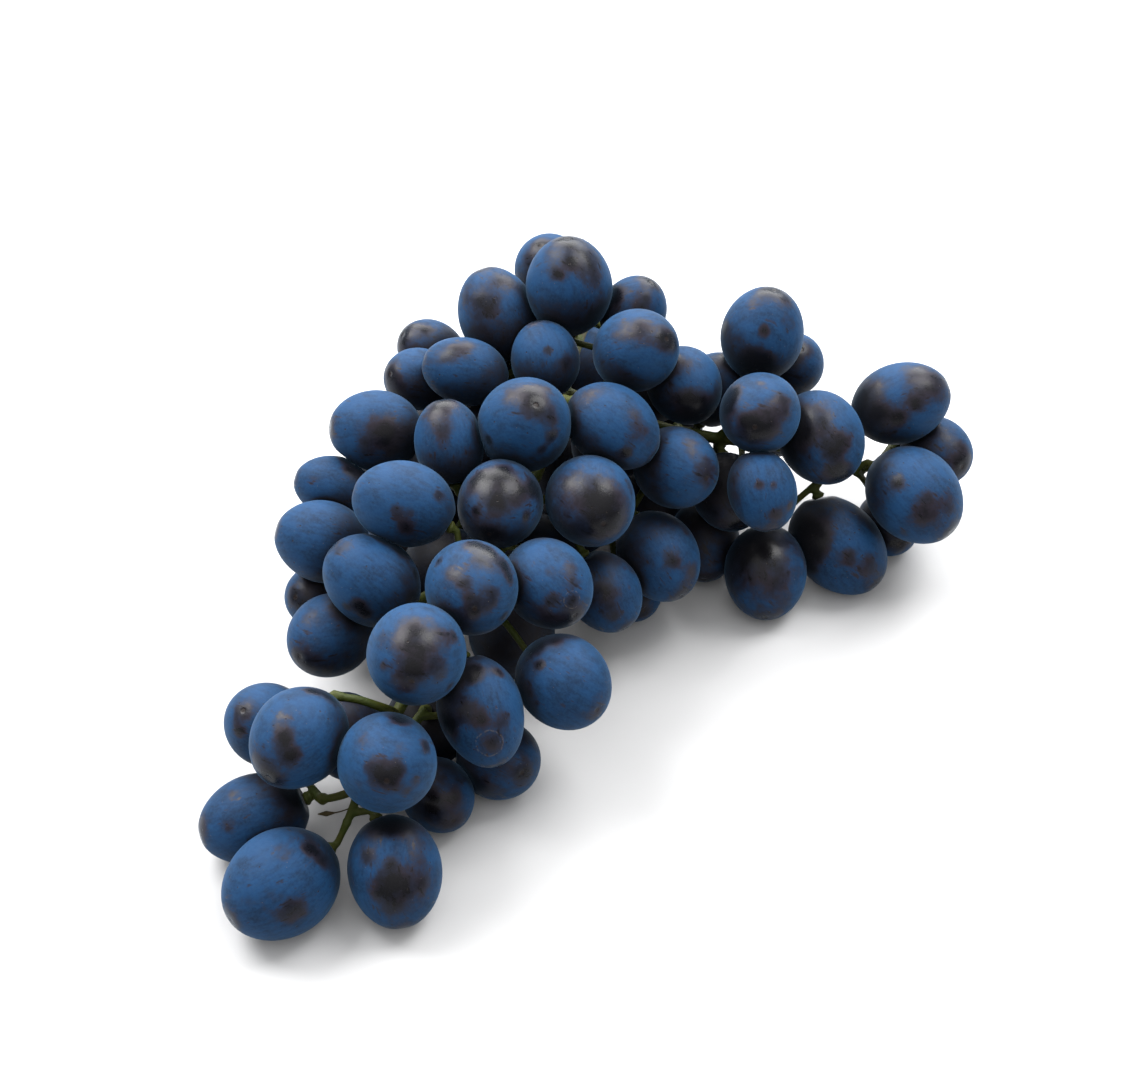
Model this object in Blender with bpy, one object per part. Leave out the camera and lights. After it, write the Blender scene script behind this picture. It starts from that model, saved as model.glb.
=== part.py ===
"""A bunch of dark blue table grapes, lying on its side on a surface.

Every length in the tables is in millimetres. The picture frame that the tables use has
X to the right, Y away from the viewer and Z up, and the model keeps those directions.
"""

import heapq
import math

import bmesh
import bpy
import numpy as np
from mathutils import Matrix

MM = 0.001

# The view that the berries' places are read from
PICTURE_WIDTH, PICTURE_HEIGHT = 1123, 1080
LENS, SENSOR = 85.0, 36.0
DISTANCE = 760.0
ELEVATION = math.radians(45)
FOCAL = LENS / SENSOR * PICTURE_WIDTH
BACKWARD = np.array([0.0, -math.cos(ELEVATION), math.sin(ELEVATION)])
RIGHT = np.array([1.0, 0.0, 0.0])
UPWARD = np.array([0.0, math.sin(ELEVATION), math.cos(ELEVATION)])
EYE = DISTANCE * BACKWARD
UP = np.array([0.0, 0.0, 1.0])

# Each berry seen: column and row of its middle in the picture, height of its middle,
# width, length, heading of its blossom end in the picture, that end's nod to the viewer
SPRAYS = {
    "tail_tip": [
        (281, 886, 14, 26.5, 31.0, 215, 16),
        (253, 817, 12, 23.0, 28.5, 198, 5),
    ],
    "tail_left": [
        (293, 737, 37, 24.0, 27.5, 232, 28),
        (266, 724, 26, 21.5, 24.5, 150, 55),
        (352, 737, 22, 21.0, 24.0, 120, 15),
        (390, 764, 35, 25.0, 28.5, 270, 72),
    ],
    "tail_end": [
        (395, 872, 13, 24.0, 28.5, 278, 5),
    ],
    "tail_right": [
        (436, 797, 10, 18.5, 21.5, 300, 45),
        (502, 757, 11, 21.5, 24.5, 330, 55),
    ],
    "front": [
        (417, 659, 54, 25.0, 28.5, 260, 62),
        (479, 711, 34, 22.0, 29.0, 287, 5),
        (469, 586, 60, 24.0, 28.0, 280, 68),
        (552, 583, 45, 22.5, 26.0, 310, 35),
    ],
    "front_right": [
        (564, 681, 30, 23.5, 27.0, 320, 35),
    ],
    "left_low": [
        (323, 544, 40, 22.0, 25.5, 165, 5),
        (319, 596, 22, 18.0, 21.0, 180, 50),
        (333, 490, 43, 17.0, 22.5, 165, 5),
        (378, 428, 53, 21.5, 25.5, 175, 10),
    ],
    "left_front": [
        (370, 581, 47, 23.0, 27.0, 140, 5),
        (331, 633, 31, 21.5, 25.0, 215, 40),
        (405, 503, 60, 22.0, 27.0, 165, 5),
    ],
    "middle": [
        (523, 424, 70, 25.0, 28.5, 60, 66),
        (614, 426, 65, 22.0, 27.0, 325, 5),
        (498, 505, 60, 22.0, 25.5, 250, 50),
        (449, 442, 59, 18.5, 23.0, 100, 5),
        (677, 468, 48, 22.0, 25.5, 340, 48),
        (590, 503, 58, 23.5, 27.0, 300, 60),
    ],
    "underside": [
        (657, 558, 25, 22.0, 26.0, 300, 18),
        (605, 593, 24, 19.5, 23.0, 300, 5),
        (632, 588, 9, 18.0, 21.0, 300, 48),
    ],
    "crown_left": [
        (429, 352, 49, 17.5, 20.5, 150, 27),
        (421, 377, 51, 17.5, 20.0, 170, 40),
        (463, 372, 60, 18.0, 24.0, 165, 5),
    ],
    "crown": [
        (550, 270, 63, 20.0, 23.0, 110, 50),
        (570, 286, 74, 23.5, 27.5, 92, 20),
        (497, 315, 64, 22.0, 27.0, 110, 5),
        (545, 359, 63, 18.5, 21.5, 100, 5),
        (633, 311, 64, 18.0, 21.0, 60, 28),
    ],
    "crown_right": [
        (637, 351, 70, 22.0, 25.5, 20, 48),
        (687, 386, 53, 20.0, 23.0, 300, 35),
    ],
    "wing_back": [
        (762, 334, 57, 23.0, 27.0, 75, 24),
        (714, 388, 40, 19.0, 22.0, 60, 30),
        (793, 364, 40, 17.5, 20.0, 60, 62),
    ],
    "wing_middle": [
        (760, 414, 53, 22.0, 25.5, 250, 72),
        (820, 438, 41, 23.5, 27.5, 300, 25),
        (762, 491, 34, 18.5, 22.5, 285, 5),
    ],
    "wing_front": [
        (763, 571, 12, 22.5, 27.0, 270, 20),
        (707, 540, 11, 20.5, 24.0, 270, 24),
        (843, 541, 13, 24.0, 31.0, 315, 5),
        (885, 528, 9, 17.5, 20.5, 300, 50),
        (729, 494, 22, 20.0, 23.0, 290, 30),
    ],
    "wing_end": [
        (901, 403, 41, 22.5, 28.0, 20, 5),
        (936, 452, 25, 19.5, 22.5, 330, 42),
        (914, 496, 28, 25.0, 29.5, 315, 12),
    ],
}
LYING = 15.0  # a berry whose middle is seen lower than this lies on the surface
OPEN_SPOTS = [  # columns and rows where the surface shows between the berries
    (709, 437),
    (880, 455),
    (815, 490),
    (842, 492),
    (321, 775),
    (325, 815),
    (340, 690),
    (338, 862),
]

# How the berries sit against each other and the surface
SINK = 0.7
APART = 0.8
PRESSED = -1.3
STALK_ROOM = 0.5

# The berries that the picture doesn't show, at the back and underneath
HIDDEN_SEED = 11
HIDDEN_DARTS = 40000
HIDDEN_MOST = 30
HIDDEN_A_SPRAY = 5
HIDDEN_FROM = (-80.0, -122.0, 8.0)
HIDDEN_TO = (112.0, 60.0, 62.0)
HIDDEN_REACH = 44.0
HIDDEN_WIDTHS = (21.0, 24.5)

# The main stalks, and those beside them that the picture shows
RACHIS = [
    (8, 80, 26),
    (7, 62, 33),
    (3, 38, 40),
    (-1, 12, 41),
    (-8, -18, 40),
    (-18, -46, 38),
    (-32, -72, 35),
    (-43, -94, 29),
    (-52, -111, 20),
]
WING = [(0, 18, 41), (22, 8, 38), (42, 4, 36), (62, 5, 32), (82, 1, 27)]
TAIL_SIDE = [(-42, -92, 29), (-43, -95, 34), (-46, -96, 37), (-51, -95, 38.5), (-55, -94, 38)]
FORK_LEFT = [(-51, -109, 21), (-55, -111, 20), (-60, -110.5, 18)]
FORK_DOWN = [(-51, -109, 21), (-52, -114, 20), (-53.5, -118.5, 19)]
RACHIS_RADII = (2.9, 2.2, 1.3)
WING_RADII = (1.9, 1.2)
SIDE_RADII = (1.3, 1.05)
PEDICEL = 0.95
PIPE_POWER = 1 / 2.8
STALK_GAP = 0.55
TIP_GAP = 0.35
SEAT = 1.75
CELL = 1.5
FARTHEST_WAY = 60.0
OPEN_ROOM = 9.0
MOUTH = 2.4
WIDEST_MOUTH = 60

# How finely the shapes are cut
BERRY_CUTS = 3
BERRY_SWELL = 1.015
PEDICEL_SIDES, RACHIS_SIDES = 5, 8
STALK_STEP, RACHIS_STEP = 4.4, 7.0

SKIN_COLOUR = (0.020, 0.045, 0.105, 1.0)
STALK_COLOUR = (0.085, 0.105, 0.022, 1.0)


# Placing the berries


def sight(column, row):
    across = RIGHT * (column - PICTURE_WIDTH / 2)
    along = UPWARD * (PICTURE_HEIGHT / 2 - row)
    line = across + along - BACKWARD * FOCAL
    return line / np.linalg.norm(line)


def at_height(column, row, height):
    line = sight(column, row)
    return EYE + line * (height - EYE[2]) / line[2]


def across_sight(line):
    side = np.cross(line, UPWARD)
    side /= np.linalg.norm(side, axis=-1, keepdims=True)
    return side, np.cross(side, line)


def pick(berries, which):
    return {key: values[which] for key, values in berries.items()}


def each(berries):
    return zip(*(berries[key] for key in ("middle", "axis", "long", "wide")))


def extent(berries, way):
    """How far each egg-shaped berry reaches from its middle along its direction."""
    lean = (berries["axis"] * way).sum(-1)
    wide, long = berries["wide"], berries["long"]
    return np.sqrt(wide**2 + (long**2 - wide**2) * lean**2)


def room_from(points, middle, axis, long, wide):
    """Distance of points from one berry's skin, measured toward its middle, and the way out."""
    step = points - middle
    far = np.linalg.norm(step, axis=-1) + 1e-9
    lean = step @ axis
    scale = np.sqrt((far**2 - lean**2) / wide**2 + lean**2 / long**2)
    return far * (1 - 1 / scale), step / far[..., None]


def pair_gaps(berries, first, second):
    step = berries["middle"][second] - berries["middle"][first]
    apart = np.linalg.norm(step, axis=-1) + 1e-9
    way = step / apart[..., None]
    gap = apart - extent(pick(berries, first), way) - extent(pick(berries, second), way)
    return gap, way


def nearest_on(lines, points):
    """For each point, the nearest point of the stalks' middle lines."""
    best = np.full(len(points), np.inf)
    found = np.zeros((len(points), 3))
    for line in lines:
        for start, end in zip(line[:-1], line[1:]):
            along = end - start
            share = np.clip((points - start) @ along / (along @ along), 0, 1)
            near = start + share[:, None] * along
            away = np.linalg.norm(points - near, axis=1)
            closer = away < best
            best[closer] = away[closer]
            found[closer] = near[closer]
    return found


def seen_berries():
    rows = []
    for spray, seen in enumerate(SPRAYS.values()):
        for column, row, height, width, length, heading, nod in seen:
            line = sight(column, row)
            side, rise = across_sight(line)
            turn, tip = math.radians(heading), math.radians(nod)
            flat = side * math.cos(turn) + rise * math.sin(turn)
            axis = flat * math.cos(tip) - line * math.sin(tip)
            middle = at_height(column, row, height)
            rows.append((middle, axis, line, length / 2, width / 2, spray, True))
    keys = ("middle", "axis", "line", "long", "wide", "spray", "seen")
    return {key: np.array([row[k] for row in rows]) for k, key in enumerate(keys)}


def shortest_joins(members, gaps):
    """The closest pairs that hold one spray's berries together."""
    inside, outside, joins = [members[0]], list(members[1:]), set()
    while outside:
        _, i, j = min((gaps[min(i, j), max(i, j)], i, j) for i in inside for j in outside)
        joins.add((min(i, j), max(i, j)))
        inside.append(j)
        outside.remove(j)
    return joins


def touching_in_view(berries):
    """Pairs whose outlines overlap in the picture, which touch on the real thing."""
    away = berries["middle"] - EYE
    depth = -(away @ BACKWARD)
    spot = np.stack([away @ RIGHT, away @ UPWARD], 1) / depth[:, None] * DISTANCE
    first, second = np.triu_indices(len(spot), 1)
    reach = 0.86 * (berries["wide"][first] + berries["wide"][second])
    near = np.linalg.norm(spot[first] - spot[second], axis=1) < reach
    return set(zip(first[near].tolist(), second[near].tolist()))


def settle(berries, lines, lying, joins, touching, steps):
    """Moves the berries, mostly along their sight lines, until none runs into another."""
    stiff, pull, soft_pull = 60.0, 0.02, 0.12
    home, line, seen = berries["middle"].copy(), berries["line"], berries["seen"]
    first, second = np.triu_indices(len(home), 1)
    give = line[:, :, None] * line[:, None, :] * (1 - 1 / stiff) + np.eye(3) / stiff
    give[~seen] = np.eye(3)
    same = berries["spray"][first] == berries["spray"][second]
    pairs = list(zip(first.tolist(), second.tolist()))
    joined = np.array([pair in joins for pair in pairs])
    soft = np.array([pair in touching for pair in pairs]) & ~joined
    wanted = np.where(joined, PRESSED, np.where(same, PRESSED * 0.7, APART))
    everyone = np.arange(len(home))
    upward = np.broadcast_to(UP, home.shape)

    def push(move, which, way, short, ease):
        given = np.einsum("kij,kj->ki", give[which], way)
        np.add.at(move, which, given * (0.5 * short / ease)[:, None])

    for step in range(steps):
        left = 1 - step / steps
        move = np.zeros_like(home)
        gap, way = pair_gaps(berries, first, second)
        short = wanted - gap
        loose = np.where(soft & (short < 0), soft_pull * left * short, np.maximum(short, 0))
        short = np.where(joined, short, loose)
        ease = np.einsum("ki,kij,kj->k", way, give[first] + give[second], way)
        push(move, first, -way, short, ease)
        push(move, second, way, short, ease)

        low = extent(berries, UP) - berries["middle"][:, 2]
        short = np.where(lying, low - SINK, np.maximum(low, 0))
        push(move, everyone, upward, short, give[:, 2, 2])

        for stalk, radius in lines:
            away = berries["middle"] - nearest_on([stalk], berries["middle"])
            far = np.linalg.norm(away, axis=1)
            way = away / far[:, None]
            short = np.maximum(extent(berries, way) + radius + STALK_ROOM - far, 0)
            push(move, everyone, way, short, np.einsum("ki,kij,kj->k", way, give, way))

        back = home - berries["middle"]
        along = (back * line).sum(1)[:, None] * line
        home_pull = np.where(seen[:, None], (back - along) * pull + along * pull * 0.2, back * pull)
        berries["middle"] = berries["middle"] + move + home_pull * left


def meets(start, ways, middle, axis, long, wide):
    """How far along each way from the start it meets a berry, or infinity."""
    start = start - middle
    squash = 1 / long**2 - 1 / wide**2
    lean, start_lean = (ways * axis).sum(-1), (axis * start).sum(-1)
    a = 1 / wide**2 + squash * lean**2
    b = (ways * start).sum(-1) / wide**2 + squash * lean * start_lean
    c = (start * start).sum(-1) / wide**2 + squash * start_lean**2 - 1
    inside = b * b - a * c
    return np.where(inside > 0, (-b - np.sqrt(np.maximum(inside, 0))) / a, np.inf)


def out_of_sight(seen, points):
    """Which points the berries already there hide from the viewer."""
    far = np.linalg.norm(points - EYE, axis=1)
    ways = (points - EYE) / far[:, None]
    hidden = np.zeros(len(points), bool)
    for middle, axis, long, wide in each(seen):
        hidden |= meets(EYE, ways, middle, axis, long, wide) < far
    return hidden


def thrown_darts(seen, lines):
    """Places for hidden berries: near the stalks, wholly hidden, and off the open spots."""
    draw = np.random.default_rng(HIDDEN_SEED)
    low, high = np.array(HIDDEN_FROM), np.array(HIDDEN_TO)
    middle = low + draw.random((HIDDEN_DARTS, 3)) * (high - low)
    least, most = HIDDEN_WIDTHS
    wide = (least + (most - least) * draw.random(HIDDEN_DARTS)) / 2
    long = wide * (1.10 + 0.10 * draw.random(HIDDEN_DARTS))
    away = middle - nearest_on([line for line, _ in lines], middle)
    far = np.linalg.norm(away, axis=1)
    axis = away / far[:, None] + draw.normal(size=middle.shape) * 0.35
    axis /= np.linalg.norm(axis, axis=1, keepdims=True)
    line = middle - EYE
    line /= np.linalg.norm(line, axis=1, keepdims=True)
    darts = {"middle": middle, "axis": axis, "line": line, "long": long, "wide": wide}
    darts["spray"] = np.zeros(HIDDEN_DARTS, int)
    darts["seen"] = np.zeros(HIDDEN_DARTS, bool)
    down = extent(darts, UP)
    near_floor = middle[:, 2] < down + 4
    middle[near_floor, 2] = down[near_floor] - SINK
    darts = pick(darts, (far > wide + RACHIS_RADII[0]) & (far < HIDDEN_REACH))
    side, rise = across_sight(darts["line"])
    unseen = np.ones(len(side), bool)
    for turn in np.radians(np.arange(0, 360, 24)):
        rim = side * math.cos(turn) + rise * math.sin(turn)
        unseen &= out_of_sight(seen, darts["middle"] + rim * darts["long"][:, None])
    for spot in OPEN_SPOTS:
        shape = (darts["middle"], darts["axis"], darts["long"] + 1, darts["wide"] + 1)
        unseen &= np.isinf(meets(EYE, sight(*spot), *shape))
    return pick(darts, unseen)


def add_hidden(berries, lines, joins):
    """Fills the back and the underside, each berry against one already there."""
    darts = thrown_darts(berries, lines)
    gap = np.full(len(darts["wide"]), np.inf)
    partner = np.zeros(len(gap), int)

    def note(number):
        step = darts["middle"] - berries["middle"][number]
        apart = np.linalg.norm(step, axis=1) + 1e-9
        way = step / apart[:, None]
        new = apart - extent(pick(berries, number), way) - extent(darts, way)
        closer = new < gap
        gap[closer] = new[closer]
        partner[closer] = number

    for number in range(len(berries["wide"])):
        note(number)
    taken = np.zeros(len(SPRAYS), int)
    for _ in range(HIDDEN_MOST):
        score = np.abs(gap) + 0.03 * darts["middle"][:, 2]
        score[gap < -1.3] = np.inf
        score[taken[berries["spray"][partner]] >= HIDDEN_A_SPRAY] = np.inf
        best = int(score.argmin())
        if math.isinf(score[best]) or gap[best] > 3.0:
            break
        darts["spray"][best] = berries["spray"][partner[best]]
        taken[darts["spray"][best]] += 1
        joins.add((int(partner[best]), len(berries["wide"])))
        for key in berries:
            berries[key] = np.concatenate([berries[key], darts[key][best : best + 1]])
        note(len(berries["wide"]) - 1)


def main_stalks():
    """The middle line and the radii of each main stalk, and of those seen beside them."""
    stalks = [(RACHIS, RACHIS_RADII), (WING, WING_RADII)]
    stalks += [(line, SIDE_RADII) for line in (TAIL_SIDE, FORK_LEFT, FORK_DOWN)]
    return [(np.array(line, float), radii) for line, radii in stalks]


def place_berries():
    lines = [(line, radii[0]) for line, radii in main_stalks()]
    berries = seen_berries()
    lying = berries["middle"][:, 2] < LYING
    touching = touching_in_view(berries)
    own_spray = berries["spray"]
    berries["spray"] = np.arange(len(own_spray))
    settle(berries, lines, lying, set(), touching, 150)
    berries["spray"] = own_spray
    first, second = np.triu_indices(len(own_spray), 1)
    gaps = dict(zip(zip(first.tolist(), second.tolist()), pair_gaps(berries, first, second)[0]))
    joins = set()
    for spray in range(len(SPRAYS)):
        joins |= shortest_joins(np.flatnonzero(own_spray == spray).tolist(), gaps)
    settle(berries, lines, lying, joins, touching, 200)
    add_hidden(berries, lines, joins)
    lying = berries["middle"][:, 2] < extent(berries, UP) + 1.0
    settle(berries, lines, lying, joins, touching, 500)
    return berries


# Growing the stalks


def evenly_along(line, spacing):
    line = np.array(line, float)
    sizes = np.linalg.norm(np.diff(line, axis=0), axis=1)
    runs = np.concatenate([[0], np.cumsum(sizes)])
    at = np.linspace(0, runs[-1], max(2, int(math.ceil(runs[-1] / spacing)) + 1))
    return np.stack([np.interp(at, runs, line[:, k]) for k in range(3)], 1)


def rounded(line, rounds=3):
    """A line of points with its corners rounded, its ends kept."""
    line = np.array(line, float)
    for _ in range(rounds):
        cut = np.stack([line[:-1] * 0.75 + line[1:] * 0.25, line[:-1] * 0.25 + line[1:] * 0.75], 1)
        line = np.concatenate([line[:1], cut.reshape(-1, 3)[1:-1], line[-1:]])
    return line


class FreeSpace:
    """The space between the berries as small cells, and the shortest ways through it."""

    def __init__(self, berries, sources):
        self.low = berries["middle"].min(0) - 16
        self.low[2] = 1.0
        high = berries["middle"].max(0) + 16
        self.shape = tuple(np.ceil((high - self.low) / CELL).astype(int))
        axes = [self.low[k] + CELL * np.arange(self.shape[k]) for k in range(3)]
        grid = np.stack(np.meshgrid(*axes, indexing="ij"), -1)
        room = np.full(self.shape, 2 * OPEN_ROOM)
        for middle, axis, long, wide in each(berries):
            first = np.maximum((middle - long - OPEN_ROOM - self.low) / CELL, 0).astype(int)
            last = ((middle + long + OPEN_ROOM - self.low) / CELL).astype(int) + 1
            block = tuple(slice(a, b) for a, b in zip(first, last))
            own, _ = room_from(grid[block], middle, axis, long, wide)
            room[block] = np.minimum(room[block], own)
        cost = 1 + 0.9 * np.maximum(room - 4.5, 0) + 0.8 * np.maximum(2.6 - room, 0)
        cost[(room < PEDICEL + STALK_GAP) | (room > OPEN_ROOM)] = np.inf
        for side in (0, -1):
            cost[side] = np.inf
            cost[:, side] = np.inf
            cost[:, :, side] = np.inf
        self.cost = cost.ravel().tolist()
        self.grid = grid.reshape(-1, 3)
        row, slab = self.shape[2], self.shape[1] * self.shape[2]
        near = (-1, 0, 1)
        moves = [(i, j, k) for i in near for j in near for k in near if (i, j, k) != (0, 0, 0)]
        self.moves = [
            (i * slab + j * row + k, 0.5 * CELL * math.sqrt(i * i + j * j + k * k)) for i, j, k in moves
        ]
        self.way_length = {}
        self.before = {}
        self.spread([(0.0, int(cell)) for cell in np.unique(self.cells(sources))])

    def cells(self, points):
        index = np.round((points - self.low) / CELL).astype(int)
        index = np.clip(index, 1, np.array(self.shape) - 2)
        return np.ravel_multi_index(index.T, self.shape)

    def spread(self, starts):
        """Takes the ways on from new starting cells, as far as they are the shortest."""
        lengths, before, cost = self.way_length, self.before, self.cost
        queue = []
        for length, cell in starts:
            if length < lengths.get(cell, math.inf):
                lengths[cell] = length
                before[cell] = -1
                queue.append((length, cell))
        heapq.heapify(queue)
        while queue:
            length, here = heapq.heappop(queue)
            if length > lengths[here]:
                continue
            if length > FARTHEST_WAY:
                break
            own = min(cost[here], 1.0e3)
            for step, half in self.moves:
                there = here + step
                if cost[there] == math.inf:
                    continue
                new = length + half * (own + cost[there])
                if new < lengths.get(there, math.inf):
                    lengths[there] = new
                    before[there] = here
                    heapq.heappush(queue, (new, there))

    def way_to(self, cell):
        cells = [cell]
        while self.before[cells[-1]] >= 0:
            cells.append(self.before[cells[-1]])
        return cells[::-1]


def mouths_of(berries, number, space):
    """Where a berry's own stalk may leave it: round the end away from its blossom."""
    axis = -berries["axis"][number]
    side = np.cross(axis, UP + 0.1)
    side /= np.linalg.norm(side)
    other = np.cross(axis, side)
    ways, tilts = [axis], [0.0]
    for tilt in range(12, WIDEST_MOUTH + 1, 12):
        for turn in range(0, 360, 30):
            a, b = math.radians(tilt), math.radians(turn)
            ways.append(axis * math.cos(a) + (side * math.cos(b) + other * math.sin(b)) * math.sin(a))
            tilts.append(tilt)
    ways = np.array(ways)
    lean = ways @ axis
    long, wide = berries["long"][number], berries["wide"][number]
    skin = 1 / np.sqrt((1 - lean**2) / wide**2 + lean**2 / long**2)
    spots = berries["middle"][number] + ways * (skin + MOUTH)[:, None]
    return ways, skin, space.cells(spots), np.array(tilts)


def kept_clear(points, berries):
    """Pushes a stalk's points off the berries' skins."""
    for middle, axis, long, wide in each(berries):
        room, out = room_from(points, middle, axis, long, wide)
        points = points + out * np.maximum(PEDICEL + STALK_GAP - room, 0)[:, None]
    return points


def grow_stalks(berries, trunks):
    """One stalk to each berry, along the shortest free way from the stalks grown so far.

    Each is a dictionary of its points, the line of its tube, its berry, and its root:
    the stalk and the point of it where it begins, or None on the rachis.
    """
    space = FreeSpace(berries, np.concatenate(trunks))
    mouths = [mouths_of(berries, k, space) for k in range(len(berries["wide"]))]

    def best_mouth(number):
        _, _, cells, tilts = mouths[number]
        lengths = np.array([space.way_length.get(int(cell), np.inf) for cell in cells])
        score = lengths + 0.25 * tilts
        return float(score.min()), int(score.argmin())

    waiting = sorted(range(len(mouths)), key=best_mouth)
    stalks, owner = [], {}
    while waiting:
        number = waiting.pop(0)
        score, chosen = best_mouth(number)
        if math.isinf(score):
            raise ValueError(f"berry {number} has no free way to the rachis")
        ways, skin, cells, _ = mouths[number]
        passed = space.way_to(int(cells[chosen]))
        middle, way = berries["middle"][number], ways[chosen]
        inner = space.grid[passed]
        root = owner.get(passed[0])
        if root is None:
            first = nearest_on(trunks, inner[:1])
        else:
            parent = stalks[root[0]]
            first = nearest_on([parent["line"]], parent["points"][root[1]][None])
        ends = np.array([middle + way * (skin[chosen] + reach) for reach in (MOUTH, TIP_GAP)])
        points = np.concatenate([first, inner[1:-1], ends])
        for _ in range(30):
            if len(points) > 3:
                middles = (points[:-3] + points[2:-1]) / 2
                points[1:-2] = kept_clear(points[1:-2] * 0.6 + middles * 0.4, berries)
        line = evenly_along(points[:-1], STALK_STEP)
        stalks.append({"points": points, "line": line, "root": root, "berry": number})
        starts = []
        for index, cell in enumerate(passed[1:-1], start=1):
            owner[cell] = (len(stalks) - 1, index)
            starts.append((0.35 * space.way_length[cell], cell))
        space.spread(starts)
    return stalks


def downstream(stalks):
    """How many berries hang beyond each point of each stalk."""
    counts = [np.ones(len(stalk["points"])) for stalk in stalks]
    for stalk, count in reversed(list(zip(stalks, counts))):
        if stalk["root"] is not None:
            parent, index = stalk["root"]
            counts[parent][: index + 1] += count[0]
    return counts


# Making the meshes


def mesh_object(name, points, faces, collection):
    mesh = bpy.data.meshes.new(name)
    mesh.from_pydata([tuple(p) for p in points], [], faces)
    made = bpy.data.objects.new(name, mesh)
    collection.objects.link(made)
    return made


def ball_shape():
    """A unit ball of even four-sided faces, from a cut-up cube."""
    ball = bmesh.new()
    bmesh.ops.create_cube(ball, size=2.0)
    bmesh.ops.subdivide_edges(ball, edges=ball.edges[:], cuts=BERRY_CUTS - 1, use_grid_fill=True)
    for vertex in ball.verts:
        flat = np.tan(np.array(vertex.co) * math.pi / 4)
        vertex.co = flat / np.linalg.norm(flat)
    points = np.array([vertex.co[:] for vertex in ball.verts])
    faces = [[vertex.index for vertex in face.verts] for face in ball.faces]
    ball.free()
    return points, faces


def frame_about(axis):
    side = np.cross(axis, [0.31, 0.72, 0.62])
    side /= np.linalg.norm(side)
    return side, np.cross(axis, side)


def berry_points(ball, middle, axis, long, wide):
    side, other = frame_about(axis)
    x, y, z = ball.T
    body = wide * (x[:, None] * side + y[:, None] * other) + long * z[:, None] * axis
    return (middle + body * BERRY_SWELL) * MM


def tube_shape(points, radii, sides):
    """A closed tube with flat ends through points, its rings square to its way."""
    ways = np.gradient(points, axis=0)
    ways /= np.linalg.norm(ways, axis=1, keepdims=True)
    side = np.cross(ways[0], [0.31, 0.72, 0.62])
    rings, faces = [], []
    for point, way, radius in zip(points, ways, radii):
        side = side - (side @ way) * way
        side /= np.linalg.norm(side)
        other = np.cross(way, side)
        turns = 2 * math.pi * np.arange(sides) / sides
        ring = np.cos(turns)[:, None] * side + np.sin(turns)[:, None] * other
        rings.append(point + radius * ring)
    for k in range(len(points) - 1):
        for s in range(sides):
            t = (s + 1) % sides
            faces.append([k * sides + s, k * sides + t, (k + 1) * sides + t, (k + 1) * sides + s])
    faces.append(list(range(sides))[::-1])
    faces.append([(len(points) - 1) * sides + s for s in range(sides)])
    return np.concatenate(rings) * MM, faces


def united(name, pieces, collection, cutters, material, solver):
    """One object from overlapping closed pieces, by a Boolean union."""
    base = mesh_object(name, *pieces[0], collection)
    if len(pieces) > 1:
        for k, (points, faces) in enumerate(pieces[1:]):
            mesh_object(f"{name}_piece_{k}", points, faces, cutters)
        union = base.modifiers.new("grown_together", "BOOLEAN")
        union.operation = "UNION"
        union.operand_type = "COLLECTION"
        union.collection = cutters
        union.solver = solver
        graph = bpy.context.evaluated_depsgraph_get()
        joined = bpy.data.meshes.new_from_object(base.evaluated_get(graph))
        base.modifiers.clear()
        base.data = joined
        for piece in list(cutters.objects):
            bpy.data.objects.remove(piece, do_unlink=True)
    base.data.materials.clear()
    base.data.materials.append(material)
    return base


def drop_inner_shells(shape):
    """Keeps the largest shell, which fills hollows that the union sealed and drops scraps.

    A shell is what hangs together over edges of two faces, so a scrap that only touches
    the rest along an edge or at a corner counts as its own.
    """
    waiting, shells = set(shape.faces), []
    while waiting:
        rim = [waiting.pop()]
        shell = set(rim)
        while rim:
            edges = [edge for edge in rim.pop().edges if len(edge.link_faces) == 2]
            near = {face for edge in edges for face in edge.link_faces} - shell
            shell |= near
            rim += near
        waiting -= shell
        shells.append(shell)
    largest = max(shells, key=len)
    spare = [face for face in shape.faces if face not in largest]
    bmesh.ops.delete(shape, geom=spare, context="FACES")


def finish(made):
    """Cuts off what lies below the surface, closes the cut, and shades the rest smooth."""
    shape = bmesh.new()
    shape.from_mesh(made.data)
    bmesh.ops.remove_doubles(shape, verts=shape.verts[:], dist=1e-7)
    drop_inner_shells(shape)
    everything = shape.verts[:] + shape.edges[:] + shape.faces[:]
    bmesh.ops.bisect_plane(
        shape, geom=everything, dist=1e-7, plane_co=(0, 0, 0), plane_no=(0, 0, -1), clear_outer=True
    )
    rim = [edge for edge in shape.edges if edge.is_boundary]
    if rim:
        bmesh.ops.holes_fill(shape, edges=rim, sides=0)
    bmesh.ops.recalc_face_normals(shape, faces=shape.faces[:])
    for face in shape.faces:
        face.smooth = abs(face.normal.z) < 0.9999 or face.calc_center_median().z > 1e-6
    shape.to_mesh(made.data)
    shape.free()


def material(name, colour, roughness, coat):
    made = bpy.data.materials.new(name)
    made.use_nodes = True
    shader = made.node_tree.nodes["Principled BSDF"]
    shader.inputs["Base Color"].default_value = colour
    shader.inputs["Roughness"].default_value = roughness
    shader.inputs["Metallic"].default_value = 0.0
    shader.inputs["Coat Weight"].default_value = coat
    made.diffuse_color = colour
    return made


def berry_sprays(berries, collection, cutters, skin):
    ball, faces = ball_shape()
    for spray, name in enumerate(SPRAYS):
        members = pick(berries, berries["spray"] == spray)
        pieces = [(berry_points(ball, *berry), faces) for berry in each(members)]
        made = united("berries_" + name, pieces, collection, cutters, skin, "MANIFOLD")
        finish(made)


def trunk_radii(radii, count):
    at = np.linspace(0, len(radii) - 1, count)
    return np.interp(at, np.arange(len(radii)), radii)


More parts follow.
